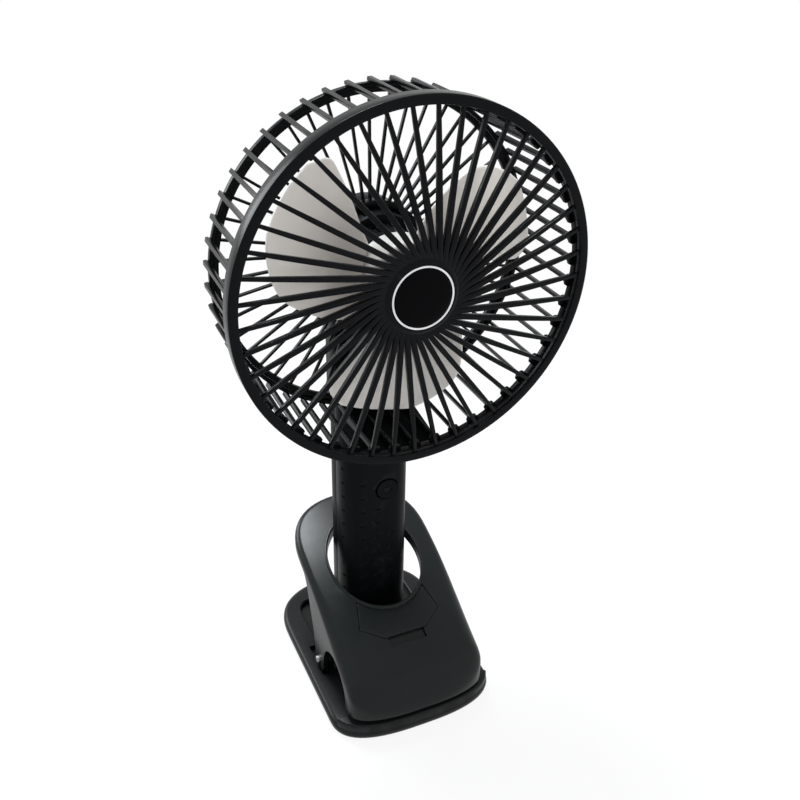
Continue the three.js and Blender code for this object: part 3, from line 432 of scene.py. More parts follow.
def add_bump(tree, shader, height, distance, strength):
    bump = tree.nodes.new("ShaderNodeBump")
    bump.inputs["Strength"].default_value = strength
    bump.inputs["Distance"].default_value = distance
    tree.links.new(height, bump.inputs["Height"])
    tree.links.new(bump.outputs["Normal"], shader.inputs["Normal"])


def plastic(name, colour, roughness, pale=None, dust=0.3, wear=0.3, grain=2600.0, relief=0.00002,
            specular=0.5, strength=0.35):
    material, tree, shader = new_material(name)
    mould = tree.nodes.new("ShaderNodeGroup")
    mould.node_tree = PLASTIC
    pale = pale or [min(1, c * 4 + 0.03) for c in colour]
    for label, value in (("Grain size", grain), ("Dust", dust), ("Wear", wear), ("Roughness", roughness),
                         ("Colour", (*colour, 1)), ("Pale", (*pale, 1))):
        mould.inputs[label].default_value = value
    tree.links.new(mould.outputs["Colour"], shader.inputs["Base Color"])
    tree.links.new(mould.outputs["Roughness"], shader.inputs["Roughness"])
    shader.inputs["Specular IOR Level"].default_value = specular
    add_bump(tree, shader, mould.outputs["Height"], relief, strength)
    return material


def metal(name, colour, roughness, variation=0.12):
    """Drawn or plated steel: fine grain and dull patches."""
    material, tree, shader = new_material(name)
    place = tree.nodes.new("ShaderNodeTexCoord").outputs["Object"]
    fine = noise(tree, place, 900.0, 3.0)
    patch = noise(tree, place, 160.0, 3.0)
    tint = colour_ramp(tree, patch, (0.25, [c * 0.72 for c in colour]), (0.75, colour))
    tree.links.new(tint, shader.inputs["Base Color"])
    shader.inputs["Metallic"].default_value = 1.0
    dullness = math_node(tree, "MULTIPLY", math_node(tree, "SUBTRACT", patch, 0.5), variation * 2)
    rough = math_node(tree, "ADD", dullness, roughness, True)
    tree.links.new(rough, shader.inputs["Roughness"])
    add_bump(tree, shader, fine, 0.000008, 0.3)
    return material


def let_light_through(material, share, depth):
    """Thin pale plastic glows a little where light falls on its far side."""
    shader = material.node_tree.nodes["Principled BSDF"]
    shader.inputs["Subsurface Weight"].default_value = share
    shader.inputs["Subsurface Radius"].default_value = (1.0, 0.97, 0.92)
    shader.inputs["Subsurface Scale"].default_value = depth


LOOK = {
    "black_plastic": plastic("handle_black", (0.0028, 0.0034, 0.0042), 0.36,
                             dust=0.05, wear=0.12, specular=0.04),
    "tray_black": plastic("tray_black", (0.0060, 0.0064, 0.0068), 0.31,
                          dust=0.06, wear=0.2, specular=0.12),
    "shell_plastic": plastic("shell_charcoal", (0.0050, 0.0068, 0.0070), 0.29,
                             dust=0.07, wear=0.15, specular=0.17),
    "guard_plastic": plastic("guard_black", (0.0028, 0.0031, 0.0038), 0.26,
                             dust=0.06, wear=0.15, specular=0.07, strength=0.1),
    "blade_plastic": plastic("blade_grey", (0.67, 0.645, 0.622), 0.42, pale=(0.74, 0.73, 0.71),
                             dust=0.2, wear=0.2, grain=1800.0),
    "gloss_black": plastic("cap_gloss", (0.0014, 0.0014, 0.0018), 0.06,
                           dust=0.03, wear=0.05, relief=0.000002, specular=0.03),
    "switch_black": plastic("switch_black", (0.008, 0.008, 0.008), 0.3, specular=0.3),
    "rubber": plastic("rubber_black", (0.008, 0.008, 0.008), 0.75,
                      dust=0.12, wear=0.1, grain=1500.0, relief=0.00005, specular=0.1),
    "steel": metal("plated_steel", (0.36, 0.365, 0.36), 0.42),
    "spring_steel": metal("spring_wire", (0.42, 0.42, 0.43), 0.32),
    "port_metal": metal("port_steel", (0.55, 0.55, 0.56), 0.25),
    "silver_trim": metal("hub_silver", (0.86, 0.87, 0.88), 0.16, variation=0.05),
    "board": plastic("board_green", (0.012, 0.09, 0.035), 0.3),
    "cell_wrap": plastic("cell_wrap_blue", (0.02, 0.12, 0.32), 0.25),
    "washer": plastic("fibre_washer", (0.16, 0.10, 0.055), 0.7),
}
let_light_through(LOOK["blade_plastic"], 0.7, 3 * MM)


# ------------------------------------------------------------------ head: guards

def front_guard():
    """Rim, hub disc and the spokes between them, which pass beside the middle and sink towards the rim."""
    skirt = RIM_RADIUS - 1.8
    rim = turned("rim", [(RIM_INNER, -2.6), (skirt, -2.6), (skirt, -RIM_WIDTH), (RIM_RADIUS, -RIM_WIDTH),
                         (RIM_RADIUS, -0.4), (RIM_RADIUS - 0.4, 0.0), (RIM_INNER, 0.0),
                         (RIM_INNER, -2.6)], DRUM_SIDES)
    soften(rim, 0.16)
    hub = turned("hub", [(0, -3.0), (15.0, -3.0), (HUB_RADIUS, -1.6), (HUB_RADIUS, 0.7), (15.3, 1.6),
                         (13.6, 2.25), (13.35, 2.25), (13.35, 1.1), (0, 1.1)], HUB_SIDES)
    soften(hub, 0.22)
    start = math.sqrt((HUB_RADIUS - 1.5) ** 2 - SPOKE_OFFSET ** 2)
    end = math.sqrt((RIM_INNER + 0.6) ** 2 - SPOKE_OFFSET ** 2)
    bpy.ops.mesh.primitive_cube_add(size=1, location=(0, 0, 0))
    spoke = named("spoke")
    edit(spoke)
    bpy.ops.mesh.bisect(plane_co=(0, 0, 0), plane_no=(1, 0, 0))
    for cut in (-0.3, -0.15, 0.15, 0.3):
        bpy.ops.mesh.select_all(action="SELECT")
        bpy.ops.mesh.bisect(plane_co=(cut, 0, 0), plane_no=(1, 0, 0))
    done_editing()
    for vertex in spoke.data.vertices:
        t = vertex.co.x + 0.5
        width = 2.35 - 0.8 * t ** 3
        back = 0.72 if vertex.co.z < 0 else 1.0
        crown = 1.35 - 1.85 * t ** 1.5
        deep = 3.3 - 1.2 * t
        vertex.co.x = (start + (end - start) * t) * MM
        vertex.co.y = (vertex.co.y * width * back - SPOKE_OFFSET) * MM
        vertex.co.z = (crown - (deep if vertex.co.z < 0 else 0)) * MM
    soften(spoke, 0.42, angle=50)
    spokes = repeated(spoke, SPOKE_COUNT, SPOKE_FIRST, 360 / SPOKE_COUNT)
    guard = joined("front_guard_moulding", [rim, hub, *spokes])
    placed(guard, DRUM)
    smooth(guard, 40)
    return finished(guard, "head", "guard_plastic", "front_guard")


def hoop(name, inner, outer, low, high, rounding=0.35):
    ring = turned(name, [(inner, low), (outer, low), (outer, high), (inner, high), (inner, low)], DRUM_SIDES)
    return soften(ring, rounding)


def side_fin():
    """A bar of wedge section, thin inside and wide outside, that flares where it meets the front hoop."""
    back = -DRUM_DEPTH
    outline = [(back, -0.1), (-46.0, 0.0), (-9.8, 0.0), (-9.0, 0.15), (-8.3, 0.5), (-7.8, 1.0),
               (-7.4, 1.7), (-5.5, 1.7)]
    rings = []
    for radius, half, tip in ((70.1, 0.45, 0.4), (70.7, 0.7, 0.0), (FIN_RADIUS, 0.92, 1.6)):
        right = [(radius, half + flare, max(z, back + tip)) for z, flare in outline]
        rings.append(right + [(r, -t, z) for r, t, z in reversed(right)])
    return soften(skin("fin", rings, "flat"), 0.22, angle=50)


def side_guard():
    """A moulded basket: a ring of fins with bare rear ends, held by a hoop in front and one behind."""
    fins = repeated(side_fin(), FIN_COUNT, FIN_FIRST, 360 / FIN_COUNT)
    parts = [hoop("front_hoop", 71.7, 73.0, -7.4, -3.0),
             hoop("rear_hoop", 68.7, 70.4, -46.6, -43.8, 0.3), *fins]
    guard = placed(joined("side_guard_moulding", parts), DRUM)
    smooth(guard, 40)
    return finished(guard, "head", "guard_plastic", "side_guard")


def rear_guard():
    """Outer ring, motor ring and a spoke for every fin."""
    back = -DRUM_DEPTH
    outline = [(20.6, back - 2.6), (67.4, back + 0.1), (67.4, back + 1.7), (20.6, back - 0.7)]
    spoke = soften(plate("rear_spoke", [(r, -0.55, z) for r, z in outline], (0, 1.1, 0)), 0.25, angle=50)
    spokes = repeated(spoke, FIN_COUNT, FIN_FIRST, 360 / FIN_COUNT)
    parts = [hoop("rear_ring", 66.2, 68.6, back, back + 2.6),
             hoop("motor_ring", 19.9, 22.9, back - 2.6, back + 1.0), *spokes]
    guard = placed(joined("rear_guard_moulding", parts), DRUM)
    smooth(guard, 40)
    return finished(guard, "head", "guard_plastic", "rear_guard")


front_guard()
side_guard()
rear_guard()

# ------------------------------------------------------------------ clip: outlines and heights

TRAY = {"half": 41.4, "front": -57.0, "back": 56.5, "front_corner": 20.0, "back_corner": 34.0}
JAW = {"half": 34.8, "front": -56.5, "back": 48.5, "front_corner": 13.0, "back_corner": 32.0}
SQUARENESS = 2.7
NOSE_START = -42.0
NOSE_FOOT = 14.3
NOSE_SQUARENESS = 2.4
JAW_LIP = 12.3
JAW_WALL = 2.4
CROWN = 1.3
HINGE_Y = -6.0
HINGE_Z = 11.0
PIN_RADIUS = 1.9
PIN_HALF_LENGTH = 36.3
LUG_RADIUS = 4.7
EAR_RADIUS = 6
PAD_SEAT = ((-20.3, -52.9), (20.3, -43.1))
POCKET = (30.5, 27, 7, 15)  # half width, half depth, corner radius and middle
HANDLE_Y = 13
FOOT_SCREW_X = (-9, 9)
HOLE_Y = 6.2
HOLE_HALF = (23.0, 25.8)


def clip_outline(part, inset):
    """The plan of a jaw, from the middle of the back round the right side to the front and back."""
    curve, straight = 16, 22
    width = part["half"] - inset
    back_start = part["back"] - part["back_corner"]
    front_start = part["front"] + part["front_corner"]
    right = []

    def corner(step, start, length):
        angle = step / curve * math.pi / 2
        right.append((width * max(math.cos(angle), 0) ** (2 / SQUARENESS),
                      start + length * math.sin(angle) ** (2 / SQUARENESS)))

    for step in range(curve, 0, -1):
        corner(step, back_start, part["back_corner"] - inset)
    for step in range(straight + 1):
        right.append((width, back_start + (front_start - back_start) * step / straight))
    for step in range(1, curve + 1):
        corner(step, front_start, inset - part["front_corner"])
    right[0] = (0.0, right[0][1])
    right[-1] = (0.0, right[-1][1])
    return right + [(-x, y) for x, y in reversed(right[1:-1])]


def jaw_top(y):
    """Height of the upper jaw's back line. It rolls over at the nose."""
    top = 53.3 + 0.39 * y - 0.00173 * y * y
    if y > NOSE_START:
        return top
    along = min((NOSE_START - y) / (NOSE_START - JAW["front"]), 1)
    return NOSE_FOOT + (top - NOSE_FOOT) * (1 - along ** NOSE_SQUARENESS) ** (1 / NOSE_SQUARENESS)


def jaw_surface(x, y):
    """The top face is slightly crowned from side to side."""
    fade = min(1, max(0, (jaw_top(y) - NOSE_FOOT) / 20))
    return jaw_top(y) + fade * CROWN * (1 - 2 * (x / JAW["half"]) ** 2)


def edge_radius(y):
    """The rolled edge is tight at the tail and full towards the nose."""
    ease = min(1, max(0, (8 - y) / 46))
    return 3.2 + 4.6 * ease * ease * (3 - 2 * ease)


def jaw_form(name, wall, foot):
    """The upper jaw's outer form, or its inner one when a wall is given, down to the foot."""
    reach = 8
    base = clip_outline(JAW, wall)
    drawn_in = clip_outline(JAW, wall + reach)
    rings = [[(x, y, foot) for x, y in base]]
    for angle in range(0, 91, 9):
        c, s = math.cos(math.radians(angle)), math.sin(math.radians(angle))
        ring = []
        for (x0, y0), (x1, y1) in zip(base, drawn_in):
            radius = edge_radius(y0) - wall * 0.6
            x = x0 + (x1 - x0) / reach * radius * (1 - c)
            y = y0 + (y1 - y0) / reach * radius * (1 - c)
            drop = radius * (1 - s) * min(1, (jaw_top(y) - NOSE_FOOT + 4) / 12)
            ring.append((x, y, jaw_surface(x, y) - wall - drop))
        rings.append(ring)
    last = rings[-1]
    for share in (0.85, 0.65, 0.45, 0.22, 0.0):
        ring = []
        for x, y, _ in last:
            across, along = x * share, -4 + (y + 4) * (1 - 0.05 * (1 - share))
            ring.append((across, along, jaw_surface(across, along) - wall))
        rings.append(ring)
    return skin(name, rings, "middle")


def ellipse_ring(offset, height):
    """Round the oval hole, drawn out by the offset. The height is a number or follows x and y."""
    count = 112
    ring = []
    for step in range(count):
        angle = 2 * math.pi * step / count
        x = (HOLE_HALF[0] + offset) * math.cos(angle)
        y = HOLE_Y + (HOLE_HALF[1] + offset) * math.sin(angle)
        ring.append((x, y, height(x, y) if callable(height) else height))
    return ring


def oval_bar(offset):
    return skin("oval", [ellipse_ring(offset, -5), ellipse_ring(offset, 95)], "flat")


def hexagon(grow):
    """Outline of the little lid, anticlockwise, with extra points along each edge."""
    steps = 6
    side = [(16.7 + grow, -10.0), (21.0 + grow, -25.8), (10.7 + grow * 0.6, -33.2 - grow)]
    corners = side[::-1] + [(-x, y) for x, y in side]
    points = []
    for (x0, y0), (x1, y1) in zip(corners, corners[1:] + corners[:1]):
        points += [(x0 + (x1 - x0) * k / steps, y0 + (y1 - y0) * k / steps) for k in range(steps)]
    return points


def lid_prism(grow, low, high, oval):
    rings = [[(x, y, jaw_surface(x, y) + height) for x, y in hexagon(grow)] for height in (low, high)]
    return less(skin("lid_place", rings, "flat"), oval_bar(oval))


def under_jaw():
    """What is cut away under the upper jaw: tail, hinge ear, side arch and front lip."""
    points = [(y, jaw_top(y) - 6.4) for y in range(62, 13, -4)]
    points += [(12.2, 50.6), (9.5, 46.4), (5.5, 36), (1.5, 24)]
    points += arc((HINGE_Y, HINGE_Z), (EAR_RADIUS, EAR_RADIUS), range(15, -196, -10))
    points += arc((-27.3, 14), (15, 16.8), range(20, 181, 8))
    points += [(-42.3, JAW_LIP), (-62, JAW_LIP), (-62, -12), (62, -12)]
    return plate("under_jaw", [(-50, y, z) for y, z in points], (100, 0, 0))


# ------------------------------------------------------------------ clip: upper jaw

def upper_jaw_shell():
    """A hollow moulding with ribs and a pad bed inside, a seat for the lid and a lip round the oval hole."""
    shell = less(jaw_form("shell", 0, -3), jaw_form("hollow", JAW_WALL, -6), oval_bar(0.7))
    walls = lid_prism(1.6, -8.8, -1.2, 0.2)
    pad_bed = boolean(brick("pad_bed", (-50, -70, 12.95), (50, -42.0, 15.05)),
                      jaw_form("inside", 1.9, -6), "INTERSECT")
    ribs = [boolean(brick("rib", (side * 26 - 1, -48, 0), (side * 26 + 1, -14, 60)),
                    jaw_form("inside", 1.9, -6), "INTERSECT") for side in (-1, 1)]
    plus(shell, walls, pad_bed, *ribs)
    pin_hole = rod("pin_hole", "x", 2.2, -45, 45, (0, HINGE_Y, HINGE_Z), 40)
    less(shell, under_jaw(), brick("pad_seat", (*PAD_SEAT[0], 0), (*PAD_SEAT[1], 12.95)),
         lid_prism(0, -1.9, 6, 1.8), lid_prism(-1.6, -7, 6, 3.4), pin_hole)
    thumb = ((-9.5, -37.2), (-5, -37.2), (0, -37.2), (5, -37.2), (9.5, -37.2), (9.5, -32.2), (0, -32.2),
             (-9.5, -32.2))
    less(shell, skin("notch", [[(x, y, jaw_surface(x, y) + height) for x, y in thumb]
                               for height in (-1.5, 6)], "flat"))
    profile = ((1.4, -4.6), (1.4, -0.1), (1.32, 0.35), (1.08, 0.62), (0.7, 0.72), (0.3, 0.6), (0.06, 0.3),
               (0.0, -0.1), (0.0, -4.6))
    lip = skin("hole_lip", [ellipse_ring(out, lambda x, y, up=up: jaw_surface(x, y) + up)
                            for out, up in profile], "loop")
    piece = joined("upper_jaw_moulding", [shell, lip])
    smooth(piece, 32)
    return finished(piece, "upper_jaw", "shell_plastic", "upper_jaw_shell")


def compartment_lid():
    """From its front edges back to the film hinge just before the oval lip."""
    side = [(17.35, -14.3), (20.7, -25.8), (10.52, -32.9)]
    corners = [(-x, y) for x, y in side] + side[::-1]
    counts = (9, 8, 14, 8, 9)
    outer = []
    for (x0, y0), (x1, y1), count in zip(corners, corners[1:], counts):
        outer += [(x0 + (x1 - x0) * k / count, y0 + (y1 - y0) * k / count) for k in range(count)]
    outer.append(corners[-1])
    columns = len(outer) - 1

    def surface(u, v):
        place = round(u * columns)
        x1, y1 = outer[place]
        x0 = -16.75 + 33.5 * place / columns
        y0 = HOLE_Y - (HOLE_HALF[1] + 2.1) * math.sqrt(1 - (x0 / (HOLE_HALF[0] + 2.1)) ** 2)
        x, y = x1 + (x0 - x1) * v, y1 + (min(y0, -14.3) - y1) * v
        return x, y, jaw_surface(x, y)

    lid = sheet("compartment_lid_moulding", columns, 8, surface, 1.6, -1)
    soften(lid, 0.22, angle=50)
    smooth(lid, 32)
    return finished(lid, "lid", "shell_plastic", "compartment_lid")


def jaw_pad(name, node, body, low, high, groove):
    """Rubber pad with a row of cross ribs on its gripping face."""
    pad = soften(brick(name, (-20, -52.6, low), (20, -43.4, high)), 0.5, 3)
    cuts = [brick("groove", (-50, -50.4 + 2.4 * k, groove - 0.45), (50, -49.6 + 2.4 * k, groove + 0.45))
            for k in range(3)]
    less(pad, *cuts)
    smooth(pad)
    return finished(pad, body, "rubber", node)


# ------------------------------------------------------------------ clip: lower jaw

def tray_form(name, edge):
    """The tray's plan, drawn in and raised ring by ring."""
    return skin(name, [[(x, y, z) for x, y in clip_outline(TRAY, inset)] for inset, z in edge], "flat")


def pocket_edge():
    """A tool that widens upwards and breaks the sharp top edge of the tray's pocket."""
    half_x, half_y, corner, middle_y = POCKET
    grow = 0.55
    rings = [[(x * (1 + grow * step / half_x), middle_y + (y - middle_y) * (1 + grow * step / half_y),
               6.1 + grow * step) for x, y in rounded_plan((half_x, half_y), corner, middle_y)]
             for step in (0, 1, 2)]
    return skin("pocket_edge", rings, "flat")


def base_tray():
    """A shallow plate with a raised front lip, a pocket, the handle's socket and two lugs for the pin."""
    tray = tray_form("tray", ((1.6, 0.6), (0.8, 0.8), (0.25, 1.7), (0, 2.8), (0, 3.9), (0.2, 4.8), (0.75, 5.7),
                              (1.7, 6.35), (3.2, 6.6)))
    lip = tray_form("front_lip", ((0.5, 4.2), (0.5, 8.2), (0.7, 8.75), (1.1, 9.1), (1.7, 9.2)))
    boolean(lip, brick("lip_depth", (-50, -58, 0), (50, -44, 20)), "INTERSECT")
    less(plus(tray, lip), rounded_block("pocket", POCKET[:2], *POCKET[2:], 3.6, 30), pocket_edge())
    socket = less(rounded_block("socket", (19, 15), 11, HANDLE_Y, 2.6, 16),
                  rounded_block("foot_hole", (17.3, 13.3), 9.3, HANDLE_Y, 6.7, 30))
    soften(socket, 0.5, 3, 50)
    side = [(HINGE_Y + LUG_RADIUS, 3.1), *arc((HINGE_Y, HINGE_Z), (LUG_RADIUS, LUG_RADIUS), range(0, 181, 9)),
            (HINGE_Y - LUG_RADIUS, 3.1)]
    lugs = [soften(plate("lug", [(near, y, z) for y, z in side], (far - near, 0, 0)), 0.4, angle=60)
            for near, far in ((-31.2, -28.7), (28.7, 31.2))]
    plus(tray, socket, *lugs)
    notches = [brick("ear_notch", (near, -13, 4.2), (far, 8, 30))
               for near, far in ((-35.4, -31.8), (31.8, 35.4))]
    screw_holes = []
    for x in FOOT_SCREW_X:
        screw_holes.append(rod("screw_hole", "z", 1.8, -1, 12, (x, HANDLE_Y, 0), 32))
        screw_holes.append(rod("screw_seat", "z", 3.3, -1, 4.6, (x, HANDLE_Y, 0), 32))
    sole = tray_form("sole_recess", ((5.7, -1), (5.7, 1.8)))
    less(tray, *notches, rod("pin_groove", "x", 2.5, -45, 45, (0, HINGE_Y, HINGE_Z), 32), sole, *screw_holes,
         brick("pad_seat", (*PAD_SEAT[0], 6.75), (*PAD_SEAT[1], 30)))
    tray.data.name = tray.name = "base_tray_moulding"
    smooth(tray, 32)
    return finished(tray, "stand", "black_plastic", "base_tray", look="tray_black")


def sole_pad():
    pad = tray_form("sole_pad_rubber", ((6.6, 0.0), (6.2, 0.15), (6.0, 0.5), (6.0, 1.5)))
    treads = [brick("tread", (-26, y - 0.5, -1), (26, y + 0.5, 0.35)) for y in range(-40, 41, 10)]
    less(pad, *treads)
    smooth(pad, 40)
    return finished(pad, "stand", "rubber", "sole_pad")


def hinge_pin():
    bevel = 0.45
    end = [(PIN_RADIUS, PIN_HALF_LENGTH - bevel), (PIN_RADIUS - bevel, PIN_HALF_LENGTH), (0, PIN_HALF_LENGTH)]
    pin = turned("hinge_pin_bar", [(r, -z) for r, z in reversed(end)] + end, 48)
    placed(pin, shift(0, HINGE_Y, HINGE_Z) @ TURN["x"])
    smooth(pin, 30)
    return finished(pin, "stand", "steel", "hinge_pin")


def torsion_spring(name, side):
    """Lower leg along the tray, three and a third turns round the pin, upper leg to the shell."""
    coil, pitch, start, wire_radius = 3.3, 2.1, 20.4, 0.8
    lower_leg, upper_leg = 22, 26
    total = math.radians(3 * 360 + 125)
    steps = 96

    def on_coil(angle):
        return Vector((side * (start + pitch * angle / (2 * math.pi)),
                       HINGE_Y + coil * math.cos(-math.pi / 2 - angle),
                       HINGE_Z + coil * math.sin(-math.pi / 2 - angle)))

    points = [on_coil(0) + Vector((0, lower_leg * k / 4, 0)) for k in range(4, 0, -1)]
    points += [on_coil(total * k / steps) for k in range(steps + 1)]
    along = on_coil(total) - on_coil(total - 0.01)
    along.x = 0
    along.normalize()
    points += [on_coil(total) + along * upper_leg * k / 4 for k in range(1, 5)]
    wire = chain(name + "_wire", [p * MM for p in points])
    selected_alone(wire)
    bpy.ops.object.convert(target="CURVE")
    curve = bpy.context.object
    curve.data.bevel_depth = wire_radius * MM
    curve.data.bevel_resolution = 2
    curve.data.use_fill_caps = True
    bpy.ops.object.convert(target="MESH")
    wire = named(name + "_wire")
    smooth(wire, 50)
    coated(wire, LOOK["spring_steel"])
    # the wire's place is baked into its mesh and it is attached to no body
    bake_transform(wire)
    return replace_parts(wire, name)


# ------------------------------------------------------------------ handle

HANDLE_HALF = (17, 13)
HANDLE_CORNER = 9
TILT_Z = 134
SCREW_X = (-12.4, 12.4)
SCREW_Z = (40, 112)
BUTTON_PLACE = shift(4, 0, 101) @ Matrix.Rotation(math.pi / 2, 4, "X")
PORT_PLACE = shift(0, 24, 96) @ TURN["y"]


def handle_half(name, front):
    """One half of the handle: rounded section, rounded fork at the top, hollow with screw bosses."""
    side = [(0, 7), (26, 7), *arc((HANDLE_Y, TILT_Z), (13, 13), range(0, 181, 6))]
    half = rounded_block(name, HANDLE_HALF, HANDLE_CORNER, HANDLE_Y, 7, 150)
    boolean(half, plate("side_form", [(-20, y, z) for y, z in side], (40, 0, 0)), "INTERSECT")
    keep = ((-30, -5, 0), (30, 12.85, 160)) if front else ((-30, 13.15, 0), (30, 35, 160))
    boolean(half, brick("keep", *keep), "INTERSECT")
    soften(half, 0.35, angle=40)
    less(half, rounded_block("hollow", (15, 11), 7, HANDLE_Y, 6, 121.4),
         brick("fork_slot", (-10.2, -5, 123.4), (10.2, 35, 160)),
         rod("pin_bore", "x", 2.3, -14.6, 14.6, (0, HANDLE_Y, TILT_Z), 40))
    reach = (1.5, 12.85) if front else (13.15, 24.5)
    for x in SCREW_X:
        for z in SCREW_Z:
            boss = rod("boss", "y", 2.7, *reach, (x, 0, z), 32)
            boolean(boss, rounded_block("inside", (16.5, 12.5), 8.5, HANDLE_Y, 0, 150), "INTERSECT")
            plus(half, boss)
            less(half, rod("bore", "y", 1.25, 4, 30, (x, 0, z), 24))
    return half


DASH_TOP = 114.4
DASH_STEP = 8
DASH_ROWS = 13


def grip_dashes():
    """The little sunk dashes of the grip: a column on each front corner and three between."""
    pill = soften(brick("dash", (-1.35, -0.55, -0.6), (1.35, 0.55, 0.6)), 0.5, 3)
    columns = ((-16.25, 5.35, -65.7, 0), (-8.7, 0, 0, 1), (-0.8, 0, 0, 3), (7.1, 0, 0, 5),
               (16.25, 5.35, 65.7, 5))
    dashes = []
    for x, y, turn, first in columns:
        for row in range(first, DASH_ROWS):
            place = shift(x, y, DASH_TOP - DASH_STEP * row)
            dashes.append(copy_of(pill, place @ Matrix.Rotation(math.radians(turn), 4, "Z")))
    bpy.data.objects.remove(pill, do_unlink=True)
    return joined("dashes", dashes)


def handle_front():
    """The front is divided between the dashes first, so that no face has to hold more than one."""
    half = handle_half("handle_front_moulding", True)
    edit(half)
    for row in range(DASH_ROWS + 1):
        bpy.ops.mesh.select_all(action="SELECT")
        height = DASH_TOP + DASH_STEP / 2 - DASH_STEP * row
        bpy.ops.mesh.bisect(plane_co=(0, 0, height * MM), plane_no=(0, 0, 1))
    for x in (-12.9, -4.8, 3.2, 11.3):
        bpy.ops.mesh.select_all(action="SELECT")
        bpy.ops.mesh.bisect(plane_co=(x * MM, 0, 0), plane_no=(1, 0, 0))
    done_editing()
    button_well = turned("button_well", [(0, -4), (5.7, -4), (5.7, -0.35), (6.05, 0), (6.05, 2), (0, 2)], 72)
    less(half, placed(button_well, BUTTON_PLACE), grip_dashes())
    smooth(half, 32)
    return finished(half, "stand", "black_plastic", "handle_front_shell")


def handle_back():
    half = handle_half("handle_back_moulding", False)
    less(half, placed(rounded_block("port_hole", (4.8, 1.9), 1.8, 0, -2, 6), PORT_PLACE))
    for x in SCREW_X:
        for z in SCREW_Z:
            less(half, rod("screw_well", "y", 2.3, 21.4, 30, (x, 0, z), 40))
    smooth(half, 32)
    return finished(half, "stand", "black_plastic", "handle_back_shell")


def power_button():
    """A dished cap with the usual on and off symbol sunk into it."""
    cap = turned("power_button_cap", [(0, -4), (1.6, -4), (1.6, -2.6), (5.0, -2.6), (5.25, -2.3), (5.25, 0.1),
                                      (5.1, 0.38), (4.8, 0.5), (4.4, 0.48), (2.4, 0.34), (0, 0.3)], 72)
    ring = turned("arc", [(1.75, 0.08), (2.3, 0.08), (2.3, 1), (1.75, 1), (1.75, 0.08)], 48)
    less(ring, brick("gap", (-1.0, 0.2, -1), (1.0, 4, 2)))
    less(cap, ring, brick("stroke", (-0.27, 0.7, 0.08), (0.27, 2.75, 1)))
    placed(cap, BUTTON_PLACE)
    smooth(cap, 28)
    return finished(cap, "button", "black_plastic", "power_button")


def charging_port():
    """A pressed steel shell with its contact tongue."""
    shell = less(rounded_block("port_shell", (4.45, 1.6), 1.5, 0, -7.9, 1.5),
                 rounded_block("mouth", (4.1, 1.25), 1.2, 0, -6, 4))
    tongue = soften(brick("port_tongue", (-3.3, -0.35, -6.5), (3.3, 0.35, 0.3)), 0.12)
    smooth(placed(shell, PORT_PLACE), 40)
    smooth(placed(tongue, PORT_PLACE), 40)
    finished(tongue, "stand", "switch_black")
    return finished(shell, "stand", "port_metal", "charging_port")


def screw_like(name, head_radius, shank_radius, length):
    """Pan head with a cross recess. The head's top is at Z = 0 and the shank points down."""
    screw = turned(name, [(0, 0), (head_radius * 0.5, -0.03), (head_radius * 0.85, -0.22), (head_radius, -0.6),
                          (head_radius, -1.5), (shank_radius, -1.5), (shank_radius, -1.5 - length + 0.5),
                          (0.1, -1.5 - length), (0, -1.5 - length)], 40)
    arm = head_radius * 0.52
    for turn in (0, 90):
        slot = brick("cross", (-arm, -0.32, -0.75), (arm, 0.32, 1))
        less(screw, placed(slot, Matrix.Rotation(math.radians(turn + 20), 4, "Z")))
    return smooth(screw, 30)


def screws():
    """Four in the handle's back, two in the neck's cover and two up through the tray."""
    pattern = screw_like("screw", 2.0, 1.0, 12)
    for number, (x, z) in enumerate([(x, z) for z in SCREW_Z for x in SCREW_X], 1):
        place = shift(x, 23.2, z) @ TURN["y"]
        node = f"handle_screw_{number}"
        finished(copy_of(pattern, place, node + "_steel"), "stand", "steel", node)
    bpy.data.objects.remove(pattern, do_unlink=True)
    for node, z in (("cover_screw_top", 229), ("cover_screw_bottom", 164)):
        screw = screw_like(node + "_steel", 2.3, 0.8, 6)
        placed(screw, shift(0, 25, z) @ TURN["y"])
        finished(screw, "head", "steel", node)
    for node, x in zip(("foot_screw_left", "foot_screw_right"), FOOT_SCREW_X):
        screw = screw_like(node + "_steel", 2.8, 1.2, 11.5)
        placed(screw, shift(x, HANDLE_Y, 2.4) @ Matrix.Rotation(math.pi, 4, "X"))
        finished(screw, "stand", "steel", node)


# ------------------------------------------------------------------ head: hub, motor and blades

def hub_trim():
    """The bright ring round the hub and the bare gloss cap inside it."""
    ring = turned("hub_ring_trim", [(12.15, 1.3), (13.15, 1.3), (13.15, 2.1), (13.0, 2.36), (12.65, 2.48),
                                    (12.3, 2.36), (12.15, 2.1), (12.15, 1.3)], HUB_SIDES)
    smooth(placed(ring, DRUM), 50)
    finished(ring, "head", "silver_trim", "hub_ring")
    cap = turned("hub_cap_disc", [(0, 1.3), (11.85, 1.3), (11.85, 2.0), (11.7, 2.22), (11.3, 2.34), (8, 2.6),
                                  (4, 2.74), (0, 2.78)], HUB_SIDES)
    smooth(placed(cap, DRUM), 50)
    return finished(cap, "head", "gloss_black", "hub_cap")


